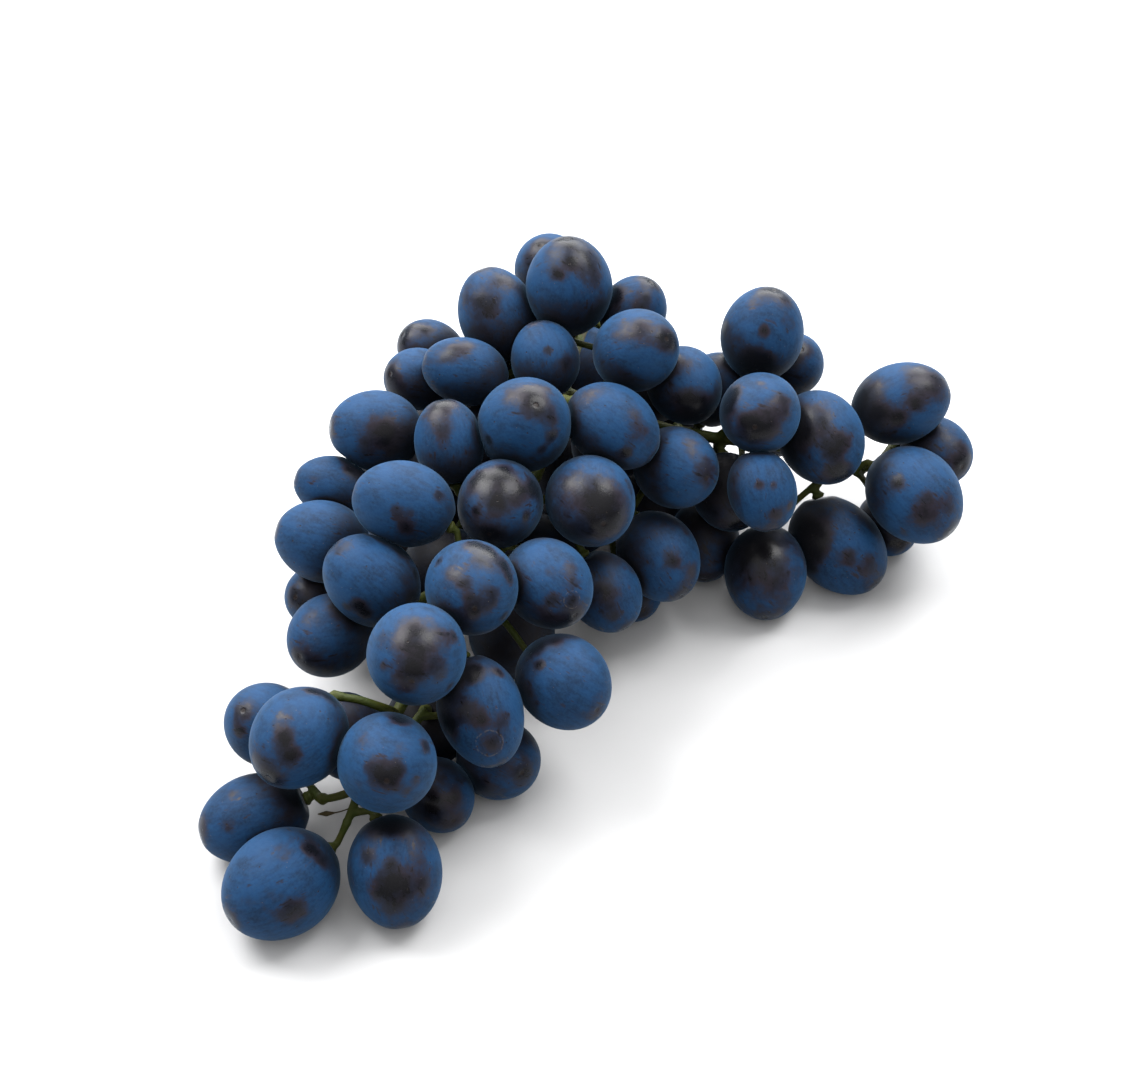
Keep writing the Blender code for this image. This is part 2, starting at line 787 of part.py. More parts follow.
def stem(berries, collection, cutters, green):
    pieces, trunks = [], []
    for line, radii in main_stalks():
        thick = radii is not SIDE_RADII
        trunk = evenly_along(rounded(line), RACHIS_STEP if thick else STALK_STEP)
        sides = RACHIS_SIDES if thick else PEDICEL_SIDES
        pieces.append(tube_shape(trunk, trunk_radii(radii, len(trunk)), sides))
        trunks.append(trunk)
    stalks = grow_stalks(berries, trunks)
    for stalk, count in zip(stalks, downstream(stalks)):
        points = stalk["points"]
        room = np.min([room_from(points, *berry)[0] for berry in each(berries)], axis=0)
        thick = np.minimum(PEDICEL * count**PIPE_POWER, np.maximum(room - 0.5, PEDICEL))
        inner = stalk["line"]
        sizes = np.concatenate([[0], np.cumsum(np.linalg.norm(np.diff(points, axis=0), axis=1))])
        at = np.linspace(0, sizes[-2], len(inner))
        radii = np.interp(at, sizes, thick)
        others = np.delete(np.arange(len(berries["wide"])), stalk["berry"])
        seat_room = min(float(room_from(points[-1], *b)[0]) for b in each(pick(berries, others)))
        seat = max(min(SEAT, seat_room - 0.6), PEDICEL)
        neck = points[-1] + (points[-2] - points[-1]) * 0.45
        line = np.concatenate([inner, [neck, points[-1]]])
        radii = np.concatenate([radii, [PEDICEL * 1.15, seat]])
        pieces.append(tube_shape(line, radii, PEDICEL_SIDES))
    made = united("stem", pieces, collection, cutters, green, "MANIFOLD")
    finish(made)


def centre_on_base(collection):
    """Moves everything so that the middle of the base of its box is the origin."""
    corners = []
    for made in collection.objects:
        points = np.empty(len(made.data.vertices) * 3)
        made.data.vertices.foreach_get("co", points)
        points = points.reshape(-1, 3)
        corners += [points.min(0), points.max(0)]
    low, high = np.min(corners, axis=0), np.max(corners, axis=0)
    shift = Matrix.Translation((-(low[0] + high[0]) / 2, -(low[1] + high[1]) / 2, -low[2]))
    for made in collection.objects:
        made.data.transform(shift)


def main():
    for old in list(bpy.data.objects):
        bpy.data.objects.remove(old, do_unlink=True)
    bunch = bpy.data.collections.new("grape_bunch")
    cutters = bpy.data.collections.new("pieces_to_join")
    bpy.context.scene.collection.children.link(bunch)
    bpy.context.scene.collection.children.link(cutters)
    skin = material("bloomed_skin", SKIN_COLOUR, 0.5, 0.15)
    green = material("green_stalk", STALK_COLOUR, 0.6, 0.0)
    berries = place_berries()
    berry_sprays(berries, bunch, cutters, skin)
    stem(berries, bunch, cutters, green)
    centre_on_base(bunch)
    bpy.data.collections.remove(cutters)


main()
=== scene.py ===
"""The looks of the bunch of grapes: fine berries, the grown stem, bloom, floor, light and camera.

The berries are placed and the stalks grown by the same tables and rules as the solids, in the
same millimetres: X to the right, Y away from the viewer and Z up.
"""

import heapq
import math

import bpy
import numpy as np
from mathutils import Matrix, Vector
from mathutils.kdtree import KDTree


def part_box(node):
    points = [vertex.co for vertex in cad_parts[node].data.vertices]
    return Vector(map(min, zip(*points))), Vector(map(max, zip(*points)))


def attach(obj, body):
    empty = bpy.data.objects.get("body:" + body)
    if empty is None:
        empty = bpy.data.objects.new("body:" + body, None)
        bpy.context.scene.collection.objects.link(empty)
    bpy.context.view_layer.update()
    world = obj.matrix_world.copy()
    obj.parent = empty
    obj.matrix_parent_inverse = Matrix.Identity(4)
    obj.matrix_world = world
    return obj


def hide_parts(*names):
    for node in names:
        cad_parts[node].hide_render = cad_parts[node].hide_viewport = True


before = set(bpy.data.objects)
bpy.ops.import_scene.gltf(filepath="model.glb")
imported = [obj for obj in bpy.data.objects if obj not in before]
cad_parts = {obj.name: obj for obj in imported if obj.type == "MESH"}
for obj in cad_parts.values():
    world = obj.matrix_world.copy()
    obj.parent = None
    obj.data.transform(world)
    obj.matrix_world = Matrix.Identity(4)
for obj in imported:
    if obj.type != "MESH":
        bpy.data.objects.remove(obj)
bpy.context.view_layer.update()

MM = 0.001

# The view that the berries' places are read from
PICTURE_WIDTH, PICTURE_HEIGHT = 1123, 1080
LENS, SENSOR = 85.0, 36.0
DISTANCE = 760.0
ELEVATION = math.radians(45)
FOCAL = LENS / SENSOR * PICTURE_WIDTH
BACKWARD = np.array([0.0, -math.cos(ELEVATION), math.sin(ELEVATION)])
RIGHT = np.array([1.0, 0.0, 0.0])
UPWARD = np.array([0.0, math.sin(ELEVATION), math.cos(ELEVATION)])
EYE = DISTANCE * BACKWARD
UP = np.array([0.0, 0.0, 1.0])
ASKEW = (0.31, 0.72, 0.62)  # a way that no berry or stalk points

# What gives a berry's egg shape and place
SHAPE_KEYS = ("middle", "axis", "long", "wide")

# Each berry seen: column and row of its middle in the picture, height of its middle,
# width, length, heading of its blossom end in the picture, that end's nod to the viewer
SPRAYS = {
    "tail_tip": [
        (281, 886, 14, 26.5, 31.0, 215, 16),
        (253, 817, 12, 23.0, 28.5, 198, 5),
    ],
    "tail_left": [
        (293, 737, 37, 24.0, 27.5, 232, 28),
        (266, 724, 26, 21.5, 24.5, 150, 55),
        (352, 737, 22, 21.0, 24.0, 120, 15),
        (390, 764, 35, 25.0, 28.5, 270, 72),
    ],
    "tail_end": [
        (395, 872, 13, 24.0, 28.5, 278, 5),
    ],
    "tail_right": [
        (436, 797, 10, 18.5, 21.5, 300, 45),
        (502, 757, 11, 21.5, 24.5, 330, 55),
    ],
    "front": [
        (417, 659, 54, 25.0, 28.5, 260, 62),
        (479, 711, 34, 22.0, 29.0, 287, 5),
        (469, 586, 60, 24.0, 28.0, 280, 68),
        (552, 583, 45, 22.5, 26.0, 310, 35),
    ],
    "front_right": [
        (564, 681, 30, 23.5, 27.0, 320, 35),
    ],
    "left_low": [
        (323, 544, 40, 22.0, 25.5, 165, 5),
        (319, 596, 22, 18.0, 21.0, 180, 50),
        (333, 490, 43, 17.0, 22.5, 165, 5),
        (378, 428, 53, 21.5, 25.5, 175, 10),
    ],
    "left_front": [
        (370, 581, 47, 23.0, 27.0, 140, 5),
        (331, 633, 31, 21.5, 25.0, 215, 40),
        (405, 503, 60, 22.0, 27.0, 165, 5),
    ],
    "middle": [
        (523, 424, 70, 25.0, 28.5, 60, 66),
        (614, 426, 65, 22.0, 27.0, 325, 5),
        (498, 505, 60, 22.0, 25.5, 250, 50),
        (449, 442, 59, 18.5, 23.0, 100, 5),
        (677, 468, 48, 22.0, 25.5, 340, 48),
        (590, 503, 58, 23.5, 27.0, 300, 60),
    ],
    "underside": [
        (657, 558, 25, 22.0, 26.0, 300, 18),
        (605, 593, 24, 19.5, 23.0, 300, 5),
        (632, 588, 9, 18.0, 21.0, 300, 48),
    ],
    "crown_left": [
        (429, 352, 49, 17.5, 20.5, 150, 27),
        (421, 377, 51, 17.5, 20.0, 170, 40),
        (463, 372, 60, 18.0, 24.0, 165, 5),
    ],
    "crown": [
        (550, 270, 63, 20.0, 23.0, 110, 50),
        (570, 286, 74, 23.5, 27.5, 92, 20),
        (497, 315, 64, 22.0, 27.0, 110, 5),
        (545, 359, 63, 18.5, 21.5, 100, 5),
        (633, 311, 64, 18.0, 21.0, 60, 28),
    ],
    "crown_right": [
        (637, 351, 70, 22.0, 25.5, 20, 48),
        (687, 386, 53, 20.0, 23.0, 300, 35),
    ],
    "wing_back": [
        (762, 334, 57, 23.0, 27.0, 75, 24),
        (714, 388, 40, 19.0, 22.0, 60, 30),
        (793, 364, 40, 17.5, 20.0, 60, 62),
    ],
    "wing_middle": [
        (760, 414, 53, 22.0, 25.5, 250, 72),
        (820, 438, 41, 23.5, 27.5, 300, 25),
        (762, 491, 34, 18.5, 22.5, 285, 5),
    ],
    "wing_front": [
        (763, 571, 12, 22.5, 27.0, 270, 20),
        (707, 540, 11, 20.5, 24.0, 270, 24),
        (843, 541, 13, 24.0, 31.0, 315, 5),
        (885, 528, 9, 17.5, 20.5, 300, 50),
        (729, 494, 22, 20.0, 23.0, 290, 30),
    ],
    "wing_end": [
        (901, 403, 41, 22.5, 28.0, 20, 5),
        (936, 452, 25, 19.5, 22.5, 330, 42),
        (914, 496, 28, 25.0, 29.5, 315, 12),
    ],
}
LYING = 15.0  # a berry whose middle is seen lower than this lies on the surface
OPEN_SPOTS = [  # columns and rows where the surface shows between the berries
    (709, 437),
    (880, 455),
    (815, 490),
    (842, 492),
    (321, 775),
    (325, 815),
    (340, 690),
    (338, 862),
]

# How the berries sit against each other and the surface
SINK = 0.7
APART = 0.8
PRESSED = -1.3
STALK_ROOM = 0.5
UNJOINED_PRESS = 0.7  # share of PRESSED for the other pairs of one spray
TOUCHING_REACH = 0.86  # share of two half widths within which berries touch in the picture
JUST_LYING = 1.0
ALONE_STEPS, JOINED_STEPS, LAST_STEPS = 150, 200, 500

# The berries that the picture doesn't show, at the back and underneath
HIDDEN_SEED = 11
HIDDEN_DARTS = 40000
HIDDEN_MOST = 30
HIDDEN_A_SPRAY = 5
HIDDEN_FROM = (-80.0, -122.0, 8.0)
HIDDEN_TO = (112.0, 60.0, 62.0)
HIDDEN_REACH = 44.0
HIDDEN_WIDTHS = (21.0, 24.5)
HIDDEN_STRETCH = (1.10, 0.10)  # least length in widths, and the most added to it
HIDDEN_LEAN = 0.35
HIDDEN_LANDING = 4.0
HIDDEN_GAP, LOW_FIRST = 3.0, 0.03
RIM_STEP = 24

# The main stalks, and those beside them that the picture shows
RACHIS = [
    (8, 80, 26),
    (7, 62, 33),
    (3, 38, 40),
    (-1, 12, 41),
    (-8, -18, 40),
    (-18, -46, 38),
    (-32, -72, 35),
    (-43, -94, 29),
    (-52, -111, 20),
]
WING = [(0, 18, 41), (22, 8, 38), (42, 4, 36), (62, 5, 32), (82, 1, 27)]
TAIL_SIDE = [(-42, -92, 29), (-43, -95, 34), (-46, -96, 37), (-51, -95, 38.5), (-55, -94, 38)]
FORK_LEFT = [(-51, -109, 21), (-55, -111, 20), (-60, -110.5, 18)]
FORK_DOWN = [(-51, -109, 21), (-52, -114, 20), (-53.5, -118.5, 19)]
RACHIS_RADII = (2.9, 2.2, 1.3)
WING_RADII = (1.9, 1.2)
SIDE_RADII = (1.3, 1.05)
PEDICEL = 0.95
PIPE_POWER = 1 / 2.8
STALK_GAP = 0.55
TIP_GAP = 0.35
SEAT = 1.75
CELL = 1.5
FARTHEST_WAY = 60.0
OPEN_ROOM = 9.0
SPACE_MARGIN = 16.0
WIDE_ROOM, WIDE_COST = 4.5, 0.9
TIGHT_ROOM, TIGHT_COST = 2.6, 0.8
MOUTH = 2.4
WIDEST_MOUTH, MOUTH_TILT, MOUTH_TURN = 60, 12, 30
TILT_COST, SHARED_WAY = 0.25, 0.35
STRAIGHTENINGS = 30
STALK_STEP, RACHIS_STEP = 4.4, 7.0

# The rubbed marks of each seen berry: column and row in the picture, size in mm, strength.
# A berry is named by its spray and its place in the spray's table.
MARKS = {
    ("tail_tip", 0): [
        (282, 854, 3.5, 0.45), (311, 851, 2.5, 0.8), (323, 863, 2.5, 0.6), (296, 912, 4.2, 0.85),
        (287, 919, 2.0, 0.6), (258, 900, 6.0, 0.3), (228, 921, 2.0, 0.7),
    ],
    ("tail_tip", 1): [
        (232, 791, 2.5, 0.4), (201, 820, 3.0, 0.45), (226, 824, 2.5, 0.45), (291, 793, 3.2, 0.8),
    ],
    ("tail_left", 0): [
        (277, 735, 2.8, 0.95), (284, 754, 2.8, 1.0), (277, 713, 3.0, 0.45), (255, 761, 4.5, 0.5),
        (270, 778, 2.5, 0.5), (306, 689, 2.2, 0.8), (325, 696, 2.5, 0.7),
    ],
    ("tail_left", 1): [(238, 730, 2.2, 0.8), (291, 684, 3.0, 0.7)],
    ("tail_left", 3): [
        (367, 740, 3.5, 0.45), (404, 747, 2.5, 0.4), (376, 770, 2.5, 0.85), (398, 771, 3.0, 0.9),
        (388, 778, 3.0, 0.95), (420, 781, 2.2, 0.6), (430, 747, 2.5, 0.9), (403, 720, 3.0, 1.0),
        (410, 795, 2.0, 0.5), (361, 786, 1.5, 0.4),
    ],
    ("tail_end", 0): [
        (393, 887, 5.0, 0.9), (391, 866, 2.0, 0.6), (367, 856, 2.6, 0.6), (419, 849, 3.0, 0.4),
        (422, 883, 5.0, 0.55), (393, 820, 4.5, 1.0), (379, 892, 3.0, 0.6), (393, 912, 3.0, 0.5),
    ],
    ("tail_right", 0): [(430, 807, 4.0, 0.7), (454, 798, 2.0, 0.7)],
    ("tail_right", 1): [(490, 788, 4.0, 0.5)],
    ("front", 0): [
        (416, 635, 6.0, 0.6), (416, 650, 5.5, 0.8), (414, 671, 3.0, 1.0), (440, 676, 3.8, 0.6),
        (383, 670, 1.4, 0.7), (399, 687, 3.5, 0.5), (455, 641, 2.0, 0.8), (381, 643, 2.5, 0.4),
        (442, 641, 4.0, 0.45), (451, 693, 2.0, 0.7),
    ],
    ("front", 1): [
        (472, 672, 3.0, 1.0), (497, 672, 1.8, 0.8), (480, 720, 2.3, 0.9), (502, 720, 3.5, 0.6),
        (490, 743, 3.2, 0.8), (467, 708, 4.0, 0.8), (447, 723, 3.0, 0.9),
    ],
    ("front", 2): [
        (449, 571, 3.0, 0.65), (462, 581, 2.0, 0.85), (467, 596, 1.3, 0.9), (490, 594, 3.0, 0.7),
        (473, 543, 3.2, 1.0), (488, 550, 2.6, 1.0), (483, 558, 4.5, 0.6), (503, 563, 2.5, 1.0),
        (508, 576, 2.0, 0.9), (436, 559, 1.6, 0.8), (503, 615, 2.0, 0.8),
    ],
    ("front", 3): [
        (553, 569, 2.2, 0.4), (575, 567, 3.0, 0.4), (576, 580, 3.0, 0.4), (577, 599, 1.8, 0.8),
        (557, 598, 1.6, 0.8), (575, 617, 1.0, 0.7), (553, 610, 4.0, 0.5),
    ],
    ("front_right", 0): [(540, 664, 1.6, 0.8), (535, 648, 3.0, 0.6), (556, 640, 3.0, 0.5)],
    ("left_low", 2): [(312, 482, 2.5, 0.4), (348, 471, 3.0, 0.5)],
    ("left_low", 3): [(383, 428, 4.5, 0.85), (366, 440, 3.0, 0.4)],
    ("left_front", 0): [
        (346, 545, 2.6, 0.5), (335, 553, 1.4, 0.5), (355, 606, 2.6, 0.9), (364, 615, 1.6, 0.9),
        (344, 608, 1.6, 0.8), (401, 552, 2.2, 0.9), (414, 574, 1.2, 1.0), (411, 600, 2.0, 0.8),
    ],
    ("left_front", 1): [(311, 615, 4.0, 0.4)],
    ("left_front", 2): [
        (440, 494, 2.2, 0.85), (399, 511, 2.2, 0.8), (407, 525, 2.6, 0.85), (414, 513, 1.8, 0.6),
    ],
    ("middle", 0): [
        (532, 391, 4.2, 0.65), (508, 394, 4.5, 0.45), (550, 419, 3.0, 0.6), (551, 436, 2.0, 0.95),
        (541, 449, 1.6, 0.7), (486, 439, 1.2, 1.0), (547, 388, 1.6, 0.5),
    ],
    ("middle", 1): [
        (592, 393, 3.4, 0.5), (640, 430, 4.0, 0.5), (628, 452, 1.6, 1.0), (636, 412, 2.4, 0.4),
    ],
    ("middle", 2): [
        (483, 480, 4.5, 0.7), (496, 502, 3.0, 0.9), (498, 491, 6.0, 0.6), (516, 491, 4.0, 0.65),
        (532, 490, 3.0, 1.0), (501, 472, 3.0, 1.0), (525, 517, 1.3, 0.8), (474, 511, 1.2, 0.7),
        (475, 480, 3.0, 0.6),
    ],
    ("middle", 3): [
        (444, 405, 3.5, 0.7), (443, 425, 3.2, 0.65), (428, 416, 4.0, 0.4), (441, 441, 2.5, 0.45),
    ],
    ("middle", 4): [(692, 445, 3.0, 0.45), (707, 465, 3.0, 0.45)],
    ("middle", 5): [
        (601, 502, 5.0, 1.0), (595, 498, 9.0, 0.6), (569, 484, 4.0, 0.6), (631, 491, 3.0, 0.5),
        (616, 521, 4.5, 0.6),
    ],
    ("underside", 0): [(671, 562, 3.5, 0.7), (692, 573, 3.0, 0.6), (685, 534, 1.3, 0.4)],
    ("underside", 1): [(608, 595, 4.0, 0.7), (614, 617, 2.5, 0.6)],
    ("crown_left", 0): [(423, 331, 2.8, 0.7), (400, 347, 3.0, 0.4)],
    ("crown_left", 2): [(453, 353, 3.5, 0.65), (466, 347, 3.0, 0.6), (439, 358, 3.5, 0.4)],
    ("crown", 0): [(528, 260, 3.0, 0.6)],
    ("crown", 1): [
        (573, 262, 2.6, 0.9), (560, 275, 2.0, 0.9), (591, 256, 5.0, 0.6), (594, 276, 4.5, 0.6),
        (550, 264, 4.5, 0.45), (600, 315, 3.0, 1.0), (569, 246, 4.0, 0.5),
    ],
    ("crown", 2): [
        (482, 306, 5.0, 0.75), (487, 306, 2.5, 0.9), (505, 281, 5.0, 0.65), (466, 296, 4.0, 0.5),
    ],
    ("crown", 3): [(548, 350, 1.6, 0.75), (564, 362, 2.2, 0.5), (510, 372, 1.6, 0.9)],
    ("crown", 4): [(641, 303, 3.0, 0.8), (646, 297, 1.2, 0.9), (617, 294, 3.0, 0.9)],
    ("crown_right", 0): [
        (641, 331, 4.0, 0.7), (621, 333, 4.5, 0.5), (665, 341, 3.5, 0.55), (674, 343, 2.5, 0.8),
    ],
    ("crown_right", 1): [(693, 400, 4.0, 0.9), (702, 404, 2.0, 0.6), (688, 364, 3.5, 0.55)],
    ("wing_back", 0): [
        (764, 331, 2.0, 0.9), (783, 296, 5.0, 0.5), (766, 292, 2.5, 0.7), (752, 301, 3.0, 0.45),
        (757, 364, 4.5, 0.9), (724, 327, 1.8, 0.7), (790, 327, 3.5, 0.45),
    ],
    ("wing_middle", 0): [
        (728, 402, 3.5, 1.0), (733, 393, 2.5, 0.9), (747, 423, 2.4, 1.0), (762, 433, 3.6, 0.9),
        (780, 416, 4.0, 0.55), (785, 402, 3.5, 0.55), (762, 383, 1.8, 0.5), (766, 412, 1.2, 0.6),
    ],
    ("wing_middle", 1): [
        (816, 414, 4.5, 0.6), (804, 435, 3.2, 0.55), (828, 445, 3.6, 0.8), (842, 440, 3.0, 0.8),
        (835, 473, 4.0, 0.9), (835, 456, 2.5, 0.45), (821, 423, 3.0, 0.5),
    ],
    ("wing_middle", 2): [
        (759, 485, 1.6, 0.8), (773, 485, 1.4, 0.6), (776, 515, 2.6, 0.65), (790, 506, 1.5, 0.6),
    ],
    ("wing_front", 0): [(762, 548, 5.0, 0.6), (771, 577, 6.0, 0.45)],
    ("wing_front", 2): [
        (809, 525, 4.0, 0.8), (821, 544, 4.0, 0.8), (828, 530, 3.0, 0.6), (854, 553, 3.0, 0.7),
        (875, 563, 4.0, 0.6), (816, 563, 1.4, 0.6),
    ],
    ("wing_end", 0): [
        (917, 374, 6.0, 0.55), (934, 386, 5.5, 0.65), (880, 386, 3.0, 0.35), (858, 402, 4.0, 0.9),
        (915, 402, 3.0, 0.9), (898, 416, 3.0, 0.85), (880, 412, 3.0, 0.6),
    ],
    ("wing_end", 1): [(946, 435, 5.0, 0.5), (962, 454, 4.0, 0.6)],
    ("wing_end", 2): [
        (898, 483, 2.4, 0.85), (927, 499, 2.5, 0.6), (924, 515, 5.0, 0.65), (950, 506, 4.0, 0.5),
        (903, 534, 2.0, 0.5),
    ],
}
# Berries darker all over, partly for thinner bloom and partly as painted shade where they lie in shadow:
# the berry as above and how much
THINNED_AND_SHADED = {
    ("wing_front", 0): 0.22,
    ("wing_front", 1): 0.15,
    ("wing_front", 4): 0.20,
    ("underside", 0): 0.10,
    ("tail_right", 0): 0.12,
    ("tail_right", 1): 0.15,
    ("tail_left", 2): 0.30,
    ("middle", 4): 0.08,
    ("tail_end", 0): 0.06,
    ("tail_tip", 1): 0.05,
    ("front_right", 0): 0.08,
    ("crown_left", 0): 0.10,
}
# Thin corky rings: the berry as above, column, row and radius in mm
RINGS = {("front", 3): (576, 599, 2.3), ("front", 1): (488, 744, 3.6)}

# How the fine berries are shaped
SEEN_CUTS, HIDDEN_CUTS = 20, 14
EGG = (0.035, 0.02)
WIDTH_RANGE = (0.985, 1.015)
LUMPS, UNEVEN_SKIN = 5, 0.11
DIMPLE, DIMPLE_REACH = 0.9, 2.6
SHOULDER, SHOULDER_FROM, SHOULDER_REACH = 0.22, 4.2, 1.5
PIT, PIT_REACH = 0.28, 1.3
SOFT_EDGE = 0.35
NEAR, PRESSING, SKIN_GAP = 1.5, 0.25, 0.04
TOUCH_REACH, FLOOR_TOUCH, FLOOR_REACH = 1.3, 0.6, 0.8
LOOKS_SEED = 5

# Where each berry's noise starts, in mm, and how much its tone varies
OFFSET_REACH, TONE_SPREAD = 50, 0.5

# Where the bloom is worn off: strength, and reach in mm where it has one
BLOSSOM_SPOT, BLOSSOM_HALO = (1.0, 3.0), (0.5, 6.0)
STALK_SPOT = (0.8, 3.4)
TOUCH_WEAR = 0.75
SPOT_RANGE = (0.4, 1.0)
HIDDEN_PATCHES, PATCH_STRENGTH, PATCH_REACH = 3, (0.4, 0.9), (2.0, 5.0)
UNMARKED = (None, (), None, 0.0)
NO_RING = 60.0

# Painted shade on the skin, which darkens it and takes off its bloom: from neighbours that it faces,
# from facing down, and from lying deep inside
FACING_FROM, BELOW_FROM, BELOW_PAINTED_SHADE = 0.1, 0.15, 0.35
INNER_FROM, INNER_RANGE, INNER_PAINTED_SHADE = 0.45, 0.15, 0.45

# Dried bits on the stalks: points and the radius at each
DRIED = [
    [
        (-52.6, -114.8, 20.0),
        (-55.0, -115.6, 19.4),
        (-57.6, -115.8, 18.9),
        (-59.4, -115.6, 18.5),
        (-61.2, -115.5, 18.2),
    ],
    [(67.0, -2.0, 18.5), (68.4, -0.6, 20.2), (70.2, 0.2, 21.4)],
]
DRIED_RADII = [[0.22, 0.16, 0.20, 0.75, 0.12], [0.45, 0.4, 0.25]]
DRIED_STEP, DRIED_SIDES = 0.3, 10
AS_OLD_WOOD = 3.0

# The fine stem
STEM_CELL = 0.42
FINE_STEP = 1.6
TUBE_SIDES = 14
ROOT_FLARE = (1.35, 1.2, 1.08)
TRUNK_UNEVEN, STALK_UNEVEN = 0.06, 0.05
# The knot of the main stalk near its cut end: how many points it takes, its rise, place and reach
KNOT_POINTS, KNOT, KNOT_AT, KNOT_REACH = 7, 0.16, 4.0, 2.0
CUT_FLARE = 1.04
# The seat under each berry: steps along the stalk's last bit, its neck, and the cap past its end
SEAT_STEPS = (0.35, 0.6, 0.8, 1.0)
SEAT_MORE, SEAT_CLEAR = 0.2, 0.3
NECK, UPPER_NECK, SEAT_RIM = 1.08, 1.3, 0.9
SEAT_CAP, CAP_WIDTH = 0.75, 0.72
SEAT_REACH, CUT_REACH = 2.2, 9.0

# Colours, as linear red, green, blue
BLOOM_DEEP = (0.0013, 0.0115, 0.0350, 1.0)
BLOOM_PALE = (0.0026, 0.0255, 0.0760, 1.0)
BLOOM_DUST = (0.0075, 0.0400, 0.0960, 1.0)
THIN_WARM = (0.0105, 0.0078, 0.0130, 1.0)
THIN_COOL = (0.0072, 0.0095, 0.0200, 1.0)
# the colour of bare skin, also used as painted shade on sheltered skin
BARE_SKIN_AND_SHADE = (0.0026, 0.0022, 0.0030, 1.0)
SCAR = (0.0090, 0.0052, 0.0040, 1.0)
CORK = (0.085, 0.070, 0.060, 1.0)
SHEEN = 0.085
SHEEN_TINT = (0.28, 0.60, 1.0, 1.0)
GLOSS = 0.14
STALK_GREEN = (0.022, 0.032, 0.0035, 1.0)
STALK_OLIVE = (0.034, 0.036, 0.0050, 1.0)
STALK_BROWN = (0.028, 0.018, 0.0070, 1.0)
STALK_PALE = (0.075, 0.080, 0.026, 1.0)
FLOOR = (0.40, 0.40, 0.403, 1.0)
WHITE = (1.0, 1.0, 1.0, 1.0)
FLOOR_HALF = 4.0

# The lights: name, direction from the bunch, distance in m, size in m, power in W
SOFTBOXES = [
    ("key", (-0.58, 0.30, 0.80), 1.2, (0.65, 0.75), 26.0),
    ("fill", (0.48, 0.22, 0.88), 1.2, (0.55, 0.65), 15.0),
    ("back", (0.05, 0.95, 0.65), 1.3, (1.5, 0.8), 36.0),
]
# The sky's strength at the horizon and overhead, and as the camera sees it
DOME = (0.19, 2.1)
BACKDROP = 0.68

# Placing the berries


def length(steps):
    return np.linalg.norm(steps, axis=-1)


def unit(steps):
    return steps / length(steps)[..., None]


def sight(column, row):
    across = RIGHT * (column - PICTURE_WIDTH / 2)
    along = UPWARD * (PICTURE_HEIGHT / 2 - row)
    line = across + along - BACKWARD * FOCAL
    return line / np.linalg.norm(line)


def at_height(column, row, height):
    line = sight(column, row)
    return EYE + line * (height - EYE[2]) / line[2]


def across_sight(line):
    side = unit(np.cross(line, UPWARD))
    return side, np.cross(side, line)


def pick(berries, which):
    return {key: values[which] for key, values in berries.items()}


def each(berries):
    return zip(*(berries[key] for key in SHAPE_KEYS))


def shape_of(berries, number):
    return [berries[key][number] for key in SHAPE_KEYS]


def extent(berries, way):
    """How far each egg-shaped berry reaches from its middle along its direction."""
    lean = (berries["axis"] * way).sum(-1)
    wide, long = berries["wide"], berries["long"]
    return np.sqrt(wide**2 + (long**2 - wide**2) * lean**2)


def room_from(points, middle, axis, long, wide):
    """Distance of points from one berry's skin, measured toward its middle, and the way out."""
    step = points - middle
    far = length(step) + 1e-9
    lean = step @ axis
    scale = np.sqrt((far**2 - lean**2) / wide**2 + lean**2 / long**2)
    return far * (1 - 1 / scale), step / far[..., None]


def gap_between(one, other):
    """The gap between the skins of two sets of berries, and the way from one to the other."""
    step = other["middle"] - one["middle"]
    apart = length(step) + 1e-9
    way = step / apart[..., None]
    return apart - extent(one, way) - extent(other, way), way


def pair_gaps(berries, first, second):
    return gap_between(pick(berries, first), pick(berries, second))


def nearest_on(lines, points):
    """For each point, the nearest point of the stalks' middle lines."""
    best = np.full(len(points), np.inf)
    found = np.zeros((len(points), 3))
    for line in lines:
        for start, end in zip(line[:-1], line[1:]):
            along = end - start
            share = np.clip((points - start) @ along / (along @ along), 0, 1)
            near = start + share[:, None] * along
            away = length(points - near)
            closer = away < best
            best[closer] = away[closer]
            found[closer] = near[closer]
    return found


def seen_berries():
    rows = []
    for spray, seen in enumerate(SPRAYS.values()):
        for column, row, height, width, length, heading, nod in seen:
            line = sight(column, row)
            side, rise = across_sight(line)
            turn, tip = math.radians(heading), math.radians(nod)
            flat = side * math.cos(turn) + rise * math.sin(turn)
            axis = flat * math.cos(tip) - line * math.sin(tip)
            middle = at_height(column, row, height)
            rows.append((middle, axis, line, length / 2, width / 2, spray, True))
    keys = ("middle", "axis", "line", "long", "wide", "spray", "seen")
    return {key: np.array([row[k] for row in rows]) for k, key in enumerate(keys)}


def shortest_joins(members, gaps):
    """The closest pairs that hold one spray's berries together."""
    inside, outside, joins = [members[0]], list(members[1:]), set()
    while outside:
        _, i, j = min((gaps[min(i, j), max(i, j)], i, j) for i in inside for j in outside)
        joins.add((min(i, j), max(i, j)))
        inside.append(j)
        outside.remove(j)
    return joins


def touching_in_view(berries):
    """Pairs whose outlines overlap in the picture, which touch on the real thing."""
    away = berries["middle"] - EYE
    depth = -(away @ BACKWARD)
    spot = np.stack([away @ RIGHT, away @ UPWARD], 1) / depth[:, None] * DISTANCE
    first, second = np.triu_indices(len(spot), 1)
    reach = TOUCHING_REACH * (berries["wide"][first] + berries["wide"][second])
    near = length(spot[first] - spot[second]) < reach
    return set(zip(first[near].tolist(), second[near].tolist()))


